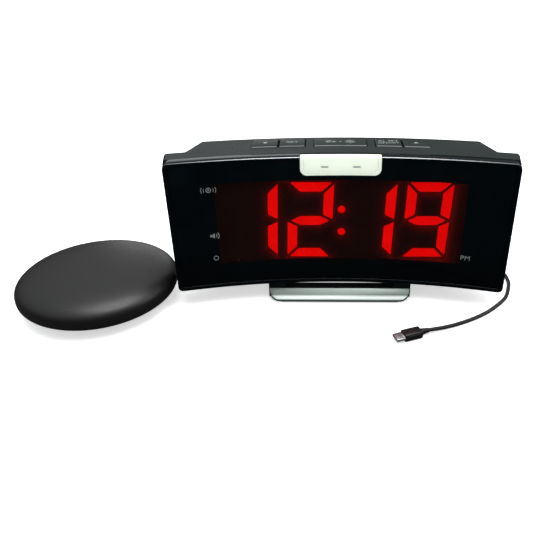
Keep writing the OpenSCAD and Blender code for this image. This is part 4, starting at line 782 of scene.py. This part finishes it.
class CLOCK_OT_lead(bpy.types.Operator):
    """Make the charging lead with its plug, coil, tie and far connector"""

    bl_idname = "clock.lead"
    bl_label = "Charging Lead"

    def execute(self, context):
        diameter = size("clock_lead", "diameter")
        route = smooth_route(START_ROUTE)[:-1] + coil_route() + smooth_route(RUN_ROUTE)
        curve = set_up(bpy.data.curves.new("lead", "CURVE"), dimensions="3D", bevel_depth=diameter / 2 * MM,
                       bevel_resolution=5, use_fill_caps=True)
        curve.materials.append(finish("lead_jacket"))
        spline = curve.splines.new("POLY")
        spline.points.add(len(route) - 1)
        for point, place in zip(spline.points, route):
            point.co = (*(place * MM), 1)
        spline.use_smooth = True
        lead = placed("lead", curve)
        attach(lead, "clock")
        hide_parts("lead_start", "lead_coil", "lead_run")
        ends = [self.tie(), *self.connector(), *self.plug_relief()]
        return {"FINISHED"}

    def tie(self):
        """Woven strap round the coil."""
        low, high = cad_box("lead_tie")
        bm = bmesh.new()
        ring(bm, box_corners(low.y, low.z, high.y, high.z), [2.0] * 4, 0.7)
        push_back(bm, high.x - low.x)
        bevel(bm, rim_edges(bm, 0) + rim_edges(bm, high.x - low.x), 0.15, 2)
        turn_by(bm, Matrix(((0, 1, 0, low.x), (1, 0, 0, 0), (0, 0, 1, 0), (0, 0, 0, 1))))
        bmesh.ops.reverse_faces(bm, faces=bm.faces[:])
        body = CAD_NODES["lead_tie"]["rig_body"]
        return keep_piece(bm, "coil_tie", ["woven_strap"], body, ["lead_tie"])

    def in_line(self, bm):
        """Stands a part that points up in line with the end of the lead."""
        end, last = Vector(RUN_ROUTE[-1]), Vector(RUN_ROUTE[-2])
        way, up = Vector((end.x - last.x, end.y - last.y, 0)).normalized(), Vector((0, 0, 1))
        turn_by(bm, Matrix.Translation(end) @ Matrix((up.cross(way), up, way)).transposed().to_4x4())

    def connector(self):
        """Ribbed relief, grip and metal tip at the far end."""
        profile = [(0, 0), (1.5, 0)]
        for i in range(4):
            h = 0.4 + i * 1.25
            r = 1.55 + 0.17 * i
            profile += [(r, h), (r, h + 0.75), (r - 0.35, h + 0.85), (r - 0.35, h + 1.15)]
        profile += [(2.2, 5.5), (0, 5.5)]
        relief = lathe(profile)
        grip = cuboid((-3.5, -2.5, 5), (3.5, 2.5, 17), 1.0, 4)
        for side in (-1, 1):
            for i in range(5):
                x, z = side * 3.5, 7.4 + 1.6 * i
                merged(grip, cuboid((x - 0.25, -1.5, z), (x + 0.25, 1.5, z + 0.8), 0.15))
        merged(relief, grip)
        self.in_line(relief)
        grip = keep_piece(relief, "connector_grip", ["lead_jacket"], "clock",
                          ["lead_connector"])
        tip = cuboid((-3.4, -0.9, 16.5), (3.4, 0.9, 22), 0.3, 3)
        merged(tip, cuboid((-2.9, -1.4, 16.6), (2.9, 1.4, 17.5), 0.25, 2))
        self.in_line(tip)
        return [grip, keep_piece(tip, "connector_tip", ["plated_metal"], "clock")]

    def plug_relief(self):
        """Rings of the strain relief behind the plug."""
        profile = [(0, 0), (1.4, 0)]
        for i in range(5):
            h = 0.4 + i * 1.5
            r = 1.75 + 0.3 * i
            profile += [(r - 0.15, h), (r, h + 0.2), (r + 0.05, h + 0.9), (r - 0.35, h + 1.0),
                        (r - 0.35, h + 1.35)]
        profile += [(2.9, 8.0), (0, 8.0)]
        bm = lathe(profile)
        turn_by(bm, tipped(PLUG_END))
        return [keep_piece(bm, "plug_relief", ["lead_jacket"], "clock")]


class CLOCK_OT_stage(bpy.types.Operator):
    """Set the pale floor, the sky and the soft lamps"""

    bl_idname = "clock.stage"
    bl_label = "Stage"

    def execute(self, context):
        context.scene.view_settings.view_transform = "Standard"
        bm = bmesh.new()
        bmesh.ops.create_grid(bm, x_segments=1, y_segments=1, size=FLOOR_REACH)
        mesh = made_mesh(bm, "floor")
        mesh.materials.append(finish("pale_floor"))
        floor = placed("floor", mesh)
        floor.location.z = -FLOOR_DROP
        self.sky(context)
        for lamp in LAMPS:
            self.lamp(*lamp)
        return {"FINISHED"}

    def sky(self, context):
        """White to the camera, and light that grows with height to all else."""
        world = bpy.data.worlds.new("sky")
        context.scene.world = world
        tree = empty_tree(world)
        split = node(tree, "SeparateXYZ", {"Vector": node(tree, "TexCoord").outputs["Generated"]})
        climb = rescale(tree, split.outputs["Z"], 0.05, 0.75, 0.04, 0.8)
        light = node(tree, "Background", {"Color": (0.97, 0.98, 1.0, 1), "Strength": climb})
        white = node(tree, "Background", {"Color": (1, 1, 1, 1)})
        seen = node(tree, "LightPath").outputs["Is Camera Ray"]
        pick = node(tree, "MixShader", {"Fac": seen, 1: light.outputs[0], 2: white.outputs[0]})
        node(tree, "OutputWorld", {"Surface": pick.outputs[0]})

    def lamp(self, name, place, target, width, power):
        lamp = placed(name, set_up(bpy.data.lights.new(name, "AREA"), size=width, energy=power))
        lamp.location = place
        lamp.rotation_euler = (Vector(target) - Vector(place)).to_track_quat("-Z", "Y").to_euler()


# Front


def face_levels():
    """Half the width, and the low and high edge, of the face."""
    width, low, height = sizes("clock_body", "width", "lift", "height")
    return width / 2, low, low + height


def flash_levels(gap):
    """Half the width, and the low and high edge, of the flash lens with a gap round it."""
    width, height = sizes("clock_body", "flash_width", "flash_height")
    high = face_levels()[2]
    return width / 2 + gap, high - height - gap, high


def face_middle():
    return sum(face_levels()[1:]) / 2


class CLOCK_OT_front(bpy.types.Operator):
    """Make the bezel, the front lens with its window, and the flash lens"""

    bl_idname = "clock.front"
    bl_label = "Front"

    def execute(self, context):
        self.bezel()
        self.lens()
        self.flash()
        return {"FINISHED"}

    def bezel(self):
        half, low, high = face_levels()
        rim, depth, top, bottom = sizes("clock_body", "rim", "bezel_depth", "corner_top", "corner_bottom")
        bm = bmesh.new()
        ring(bm, box_corners(-half, low, half, high), [bottom, bottom, top, top], rim)
        push_back(bm, depth)
        margin = 0.75 * rim

        def outside(edge):
            c = sum((v.co for v in edge.verts), Vector()) / 2
            return abs(c.x) > half - margin or c.z > high - margin or c.z < low + margin

        bevel(bm, rim_edges(bm, 0, outside), BEZEL_FRONT_EDGE, 3)
        bevel(bm, rim_edges(bm, depth, outside), BEZEL_BACK_EDGE, 2)
        bevel(bm, rim_edges(bm, 0), BEZEL_INNER_EDGE, 2)
        notch, notch_low, high = flash_levels(FLASH_GAP)
        cut_at(bm, (-notch, notch))
        gone = [f for f in bm.faces
                if abs(f.calc_center_median().x) < notch and f.calc_center_median().z > notch_low]
        bmesh.ops.delete(bm, geom=gone, context="FACES")
        bmesh.ops.holes_fill(bm, edges=[e for e in bm.edges if e.is_boundary], sides=0)
        behind = size("clock_body", "flash_depth") + FLASH_GAP
        merged(bm, cuboid((-notch, behind, high - BRIDGE_HEIGHT), (notch, depth, high)))
        slice_across(bm, 4, half)
        # The bevel faces along the top front and top back edges get light colours: painted highlights
        for f in bm.faces:
            c = f.calc_center_median()
            near, far = c.y < HIGHLIGHT_EDGE_DEPTH, c.y > depth - HIGHLIGHT_EDGE_DEPTH
            if abs(f.normal.z) < 0.1 or abs(f.normal.z) > 0.99:
                f.material_index = 1
            elif c.z > high - HIGHLIGHT_EDGE_DEPTH and abs(c.x) < half - 2 and (near or far):
                f.material_index = 2 if near else 3
            else:
                f.material_index = 0
        bend(bm, size("clock_body", "flare") * MM)
        finishes = ["gloss_front", "gloss_lens", "painted_highlight_front_edge", "painted_highlight_seam_edge"]
        keep_piece(bm, "bezel", finishes, "clock", ["front_bezel"])

    def lens(self):
        half, low, high = face_levels()
        inset, corner = (length + FLASH_GAP for length in sizes("clock_body", "rim", "flash_corner"))
        notch, notch_low, high = flash_levels(FLASH_GAP)
        side, top = half - inset, high - inset
        bm = bmesh.new()
        outline = [(-side, low + inset), (side, low + inset), (side, top), (notch, top), (notch, notch_low),
                   (-notch, notch_low), (-notch, top), (-side, top)]
        panel(bm, outline, [LENS_CORNER, LENS_CORNER, LENS_TOP_CORNER, 0, corner, corner, 0, LENS_TOP_CORNER])
        push_back(bm, LENS_BACK - LENS_FRONT)
        bevel(bm, rim_edges(bm, 0), LENS_EDGE, 2)
        window_low = face_middle() - WINDOW_HALF_H
        window_high = face_middle() + WINDOW_HALF_H + WINDOW_RISE
        cut_at(bm, (-WINDOW_HALF, WINDOW_HALF))
        cut_at(bm, (window_low, window_high), (0, 0, 1))
        slice_across(bm, 4, half)
        bmesh.ops.triangulate(bm, faces=[f for f in bm.faces if len(f.verts) > 4])
        for f in bm.faces:
            c = f.calc_center_median()
            f.material_index = int(abs(c.x) < WINDOW_HALF and window_low < c.z < window_high)
        move(bm, 0, LENS_FRONT, 0)
        bend(bm, size("clock_body", "flare") * MM)
        keep_piece(bm, "front_lens", ["gloss_lens", "smoked_window"], "clock", ["face_lens"])

    def flash(self):
        half, low, high = flash_levels(0)
        corner, depth = sizes("clock_body", "flash_corner", "flash_depth")
        bm = bmesh.new()
        panel(bm, box_corners(-half, low, half, high), [corner, corner, 0.5, 0.5])
        push_back(bm, depth)
        bevel(bm, rim_edges(bm, 0), FLASH_EDGE, 4)
        slice_across(bm, 2, half)
        bend(bm)
        keep_piece(bm, "flash_cover", ["frosted_lens"], "clock", ["flash_lens"])
        self.flash_shade_marks(half, low, high)

    def flash_shade_marks(self, half, low, high):
        """Darker marks painted on the front of the flash lens: the two lamps' own chips and painted shade of
        the inner side walls, as they show through.
        """
        bm = bmesh.new()
        middle = (low + high) / 2 - 0.3
        half_w, half_h = (side / 2 for side in FLASH_LAMP_SIZE)
        for side in (-1, 1):
            x = side * FLASH_LAMP_X
            stroke(bm, box_corners(x - half_w, middle - half_h, x + half_w, middle + half_h))
            x = side * (half - 2.1)
            stroke(bm, box_corners(x - 0.1, low + 3, x + 0.1, high - 1.2))
        print_on_front(bm, 1, half, -0.03)
        keep_piece(bm, "flash_shade_marks", ["painted_see_through_shade"], "clock")


def segment_corners(name):
    """Corners of one segment, from the lower left of its digit."""
    w, h, t, gap = sizes("clock_digits", "width", "height", "segment", "gap")
    m, c, s, e = h / 2, gap / math.sqrt(2), gap * 0.56, gap * 1.12
    if name == "g":
        return [(e, m), (t + e, m + t / 2), (w - t - e, m + t / 2), (w - e, m), (w - t - e, m - t / 2),
                (t + e, m - t / 2)]
    corners = [(0, h - c), (t, h - t - c), (t, m + t / 2 + s), (0, m + s)]
    if name in "ad":
        corners = [(c, h), (w - c, h), (w - t - c, h - t), (t + c, h - t)]
    return [(w - x if name in "bc" else x, h - z if name in "cde" else z) for x, z in corners]


def placed_segment(name, x):
    """Corners of a segment in the window, leaned over."""
    w, h, lean = sizes("clock_digits", "width", "height", "lean")
    return [(x - w / 2 + px + lean * MM * (pz - h / 2), face_middle() - h / 2 + pz)
            for px, pz in segment_corners(name)]


def outside_by(point, corners):
    """How far a point lies outside a convex outline."""
    sides = list(zip(corners, corners[1:] + corners[:1]))
    sign = 1 if sum(a[0] * b[1] - b[0] * a[1] for a, b in sides) > 0 else -1
    worst = -math.inf
    for a, b in sides:
        dx, dz = b[0] - a[0], b[1] - a[1]
        worst = max(worst, sign * ((point[0] - a[0]) * dz - (point[1] - a[1]) * dx) / math.hypot(dx, dz))
    return worst


class CLOCK_OT_display(bpy.types.Operator):
    """Make the lit digits, the colon and the glowing film"""

    bl_idname = "clock.display"
    bl_label = "Display"

    def execute(self, context):
        self.lit = [placed_segment(name, x) for x, names in zip(DIGIT_X, LIT) for name in names]
        rise = size("clock_digits", "dot_rise")
        self.dots = [(COLON_X, face_middle() - rise), (COLON_X, face_middle() + rise)]
        self.segments()
        self.colon()
        self.film()
        return {"FINISHED"}

    def segments(self):
        whole = bmesh.new()
        corner = size("clock_digits", "corner")
        for corners in self.lit:
            bm = bmesh.new()
            panel(bm, corners, [corner] * len(corners), 4)
            face_out(bm)
            push_back(bm, SEGMENT_DEPTH)
            merged(whole, bm)
        move(whole, 0, MODULE_FRONT, 0)
        keep_piece(whole, "lit_digits", ["lit_segment"], "clock", ["lit_segments"])

    def colon(self):
        whole, radius = bmesh.new(), size("clock_digits", "dot") / 2
        for x, z in self.dots:
            bm = bmesh.new()
            bmesh.ops.create_cone(bm, cap_ends=True, segments=32, radius1=radius, radius2=radius,
                                  depth=SEGMENT_DEPTH)
            turn_by(bm, tipped((x, MODULE_FRONT + SEGMENT_DEPTH / 2, z)))
            merged(whole, bm)
        keep_piece(whole, "lit_colon", ["lit_segment"], "clock", ["colon_dots"])

    def film(self):
        """Film with a glow attribute that falls off round each lit segment."""
        half_w, half_h = WINDOW_HALF + FILM_EDGE, WINDOW_HALF_H + FILM_EDGE + FILM_RISE / 2
        middle = face_middle() + FILM_RISE / 2
        bm = bmesh.new()
        bmesh.ops.create_grid(bm, x_segments=150, y_segments=54, size=1)
        turn_by(bm, tipped((0, 0, middle)) @ Matrix.Diagonal((half_w, half_h, 1, 1)))
        push_back(bm, FILM_BACK - FILM_FRONT)
        glow = bm.verts.layers.float.new("glow")
        radius = size("clock_digits", "dot") / 2
        for v in bm.verts:
            point = (v.co.x, v.co.z)
            away = min(outside_by(point, corners) for corners in self.lit)
            away = min(away, *(math.dist(point, dot) - radius for dot in self.dots))
            v[glow] = sum(light * math.exp(-max(away, 0) / reach) for light, reach in GLOW)
        move(bm, 0, FILM_FRONT, 0)
        bend(bm)
        keep_piece(bm, "window_film", ["red_film"], "clock", ["red_filter"])


class CLOCK_OT_signs(bpy.types.Operator):
    """Print the signs on the front lens"""

    bl_idname = "clock.signs"
    bl_label = "Printed Signs"

    def execute(self, context):
        bm = bmesh.new()
        self.shaker(bm, *SHAKER_SIGN)
        self.sounder(bm, *SOUNDER_SIGN)
        arc_stroke(bm, *RING_SIGN, 1.35, 0.4, 0, 360, 24)
        lettering(bm, "PM", 3.0, *PM_SIGN, 5.4)
        move(bm, 0, 0, face_middle())
        print_on_front(bm, 2, 90, 0.02)
        keep_piece(bm, "face_signs", ["printed_ink"], "clock")
        return {"FINISHED"}

    def shaker(self, bm, x, z):
        """Disc between curved strokes, for the shaker."""
        arc_stroke(bm, x, z, 1.35, 0.4, 0, 360, 24)
        stroke(bm, box_corners(x - 0.45, z - 0.45, x + 0.45, z + 0.45))
        for side in (0, 180):
            for radius in (2.8, 4.2):
                arc_stroke(bm, x, z, radius, 0.35, side - 24, 48, 10)

    def sounder(self, bm, x, z):
        """Loudspeaker with waves, for the sounder."""
        stroke(bm, box_corners(x - 2.9, z - 0.7, x - 1.7, z + 0.7))
        stroke(bm, [(x - 1.5, z - 0.8), (x - 0.2, z - 1.8), (x - 0.2, z + 1.8), (x - 1.5, z + 0.8)])
        for radius in (1.5, 2.8):
            arc_stroke(bm, x - 0.5, z, radius, 0.45, -45, 90, 10)


# Keys


class CLOCK_OT_keys(bpy.types.Operator):
    """Make the five keys and their signs"""

    bl_idname = "clock.keys"
    bl_label = "Keys"

    def execute(self, context):
        for name, x in KEY_X.items():
            self.key(name, x, size("clock_keys", "wide" if name == "snooze_key" else "width"))
            self.sign(name, x)
        return {"FINISHED"}

    def key(self, name, x, width):
        front, depth, top, edge = sizes("clock_keys", "front", "depth", "top", "edge")
        bm = cuboid((x - width / 2, front, KEY_LOW), (x + width / 2, front + depth, top))
        upright = [e for e in bm.edges if abs(e.verts[0].co.z - e.verts[1].co.z) > 1]
        bevel(bm, upright, KEY_CORNER, 3)
        upper = [e for e in bm.edges if all(abs(v.co.z - top) < 1e-4 for v in e.verts)]
        bevel(bm, upper, edge, 3)
        for f in bm.faces:
            # The front faces near a key's top get a lighter colour: a painted highlight along its front edge
            f.material_index = int(f.normal.y < -0.2 and f.calc_center_median().z > top - KEY_HIGHLIGHT_BAND)
        merged(bm, cuboid((x - width / 2, front - KEY_SKIRT, KEY_LOW),
                          (x + width / 2, front + depth + KEY_SKIRT, KEY_LOW + SKIRT_HEIGHT)))
        slice_across(bm, 2.5, 60)
        bend(bm)
        stem = bmesh.new()
        stem_low, stem_top = cad_box(name)[0].z, KEY_LOW + 1
        bmesh.ops.create_cone(stem, cap_ends=True, segments=24, radius1=STEM_RADIUS, radius2=STEM_RADIUS,
                              depth=stem_top - stem_low)
        move(stem, x, arc_y(x, front + depth / 2), (stem_top + stem_low) / 2)
        merged(bm, stem)
        keep_piece(bm, name + "_cap", ["matt_keys", "painted_highlight_key_edge"], name, [name])

    def sign(self, name, x):
        bm = bmesh.new()
        if name in ("down_key", "up_key"):
            way = 1 if name == "up_key" else -1
            stroke(bm, [(x - 1.5, -1.1 * way), (x + 1.5, -1.1 * way), (x, 1.3 * way)][::way])
        elif name == "set_key":
            lettering(bm, "SET", 2.3, x, 0, 7.3)
        elif name == "alarm_key":
            lettering(bm, "AL SET", 2.2, x, 1.9, 12.5)
            lettering(bm, "ON/OFF", 2.2, x, -1.9, 12.5)
        else:
            lettering(bm, "Zz", 3.2, x - 6, 0, 6.4)
            stroke(bm, box_corners(x - 0.5, -0.5, x + 0.5, 0.5))
            arc_stroke(bm, x + 6, 0, 1.3, 0.55, 0, 360, 20)
            for i in range(8):
                a = math.radians(45 * i)
                ray, across = Vector((math.cos(a), math.sin(a))), Vector((-math.sin(a), math.cos(a))) * 0.26
                near, far = Vector((x + 6, 0)) + ray * 2.1, Vector((x + 6, 0)) + ray * 3.1
                stroke(bm, [near - across, far - across, far + across, near + across])
        face_out(bm)
        push_back(bm, KEY_INK_DEPTH)
        front, depth, top = sizes("clock_keys", "front", "depth", "top")
        turn_by(bm, tipped((0, arc_y(x, front + depth / 2), top + 0.03), -90))
        keep_piece(bm, name + "_sign", ["key_ink"], name)


# Body, foot and rear


class CLOCK_OT_body(bpy.types.Operator):
    """Finish the parts of the CAD model that keep their shape, and make the front of the foot"""

    bl_idname = "clock.body"
    bl_label = "Body"

    def execute(self, context):
        for finish_name, names in NODE_FINISHES.items():
            for holder in (slot for name in names for slot in CAD_NODES[name].material_slots):
                holder.material = finish(finish_name)
        self.foot_front()
        return {"FINISHED"}

    def foot_front(self):
        """Silver plate, narrower low down with well rounded corners, leaning back over the foot."""
        low, high = cad_box("foot_trim")
        height = (TRIM_TOP - TRIM_PLACE[2]) / math.sin(TRIM_SLOPE)
        bm = bmesh.new()
        outline = [(low.x + TRIM_TAPER, 0), (high.x - TRIM_TAPER, 0), (high.x, height), (low.x, height)]
        panel(bm, outline, [TRIM_CORNER, TRIM_CORNER, TRIM_TOP_CORNER, TRIM_TOP_CORNER])
        push_back(bm, TRIM_THICK)
        bevel(bm, rim_edges(bm, 0), TRIM_EDGE, 3)
        turn_by(bm, tipped(TRIM_PLACE, math.degrees(TRIM_SLOPE) - 90))
        # Its silver finish carries a painted highlight band and painted shade low down
        keep_piece(bm, "foot_front", ["satin_silver_painted_band"], "clock", ["foot_trim"])


# Shaker pad


class CLOCK_OT_pad(bpy.types.Operator):
    """Make the two shells of the shaker pad"""

    bl_idname = "clock.pad"
    bl_label = "Shaker Pad"

    def execute(self, context):
        seam = size("clock_pad", "seam")
        self.shell("pad_top", seam + SEAM_GAP, math.inf, "pad_top_shell")
        self.shell("pad_bottom", -math.inf, seam - SEAM_GAP, "pad_bottom_shell")
        return {"FINISHED"}

    def outline(self, inset, low, high):
        """Points of the section from the bottom up, between two heights."""
        diameter, top, power = sizes("clock_pad", "diameter", "top", "power")
        a, b = diameter / 2 - inset, (top - PAD_LOW) / 2 - inset
        middle = (top + PAD_LOW) / 2
        power *= MM
        points = []
        for i in range(PAD_STEPS + 1):
            t = math.radians(-90 + 180 * i / PAD_STEPS)
            z = middle + b * math.copysign(abs(math.sin(t)) ** (2 / power), math.sin(t))
            if low < z < high:
                points.append((a * max(math.cos(t), 0) ** (2 / power), z))

        def reach(z):
            return a * (1 - (abs(z - middle) / b) ** power) ** (1 / power)

        if low > middle - b:
            points.insert(0, (reach(low), low))
        if high < middle + b:
            points.append((reach(high), high))
        return points

    def shell(self, name, low, high, stands_for):
        wall = size("clock_pad", "wall")
        outer, inner = self.outline(0, low, high), self.outline(wall, low, high)
        profile = outer + inner[::-1] + ([outer[0]] if low > 0 else [])
        bm = lathe(profile, PAD_MIDDLE, 128)
        keep_piece(bm, name, ["satin_pad"], "pad", [stands_for], smooth=50)


class CLOCK_PT_sidebar(bpy.types.Panel):
    """Sizes, colours and steps of the alarm clock"""

    bl_idname = "CLOCK_PT_sidebar"
    bl_label = "Alarm Clock"
    bl_space_type = "VIEW_3D"
    bl_region_type = "UI"
    bl_category = "Alarm Clock"

    def draw(self, context):
        for name, group in GROUPS.items():
            box = self.layout.box()
            box.label(text=group.__doc__)
            for field in group.__annotations__:
                box.prop(getattr(context.scene, name), field)
        for operator in OPERATORS:
            self.layout.operator(operator.bl_idname)


OPERATORS = (
    CLOCK_OT_camera,
    CLOCK_OT_lead,
    CLOCK_OT_stage,
    CLOCK_OT_front,
    CLOCK_OT_display,
    CLOCK_OT_signs,
    CLOCK_OT_keys,
    CLOCK_OT_body,
    CLOCK_OT_pad,
)
CLASSES = (*GROUPS.values(), *OPERATORS, CLOCK_PT_sidebar)


def register():
    for cls in CLASSES:
        bpy.utils.register_class(cls)
    for name, group in GROUPS.items():
        setattr(bpy.types.Scene, name, bpy.props.PointerProperty(type=group))


def unregister():
    for name in GROUPS:
        delattr(bpy.types.Scene, name)
    for cls in reversed(CLASSES):
        bpy.utils.unregister_class(cls)


def main():
    register()
    bpy.ops.clock.camera()
    bpy.ops.clock.lead()
    bpy.ops.clock.stage()
    bpy.ops.clock.front()
    bpy.ops.clock.display()
    bpy.ops.clock.signs()
    bpy.ops.clock.keys()
    bpy.ops.clock.body()
    bpy.ops.clock.pad()


if __name__ == "__main__":
    main()
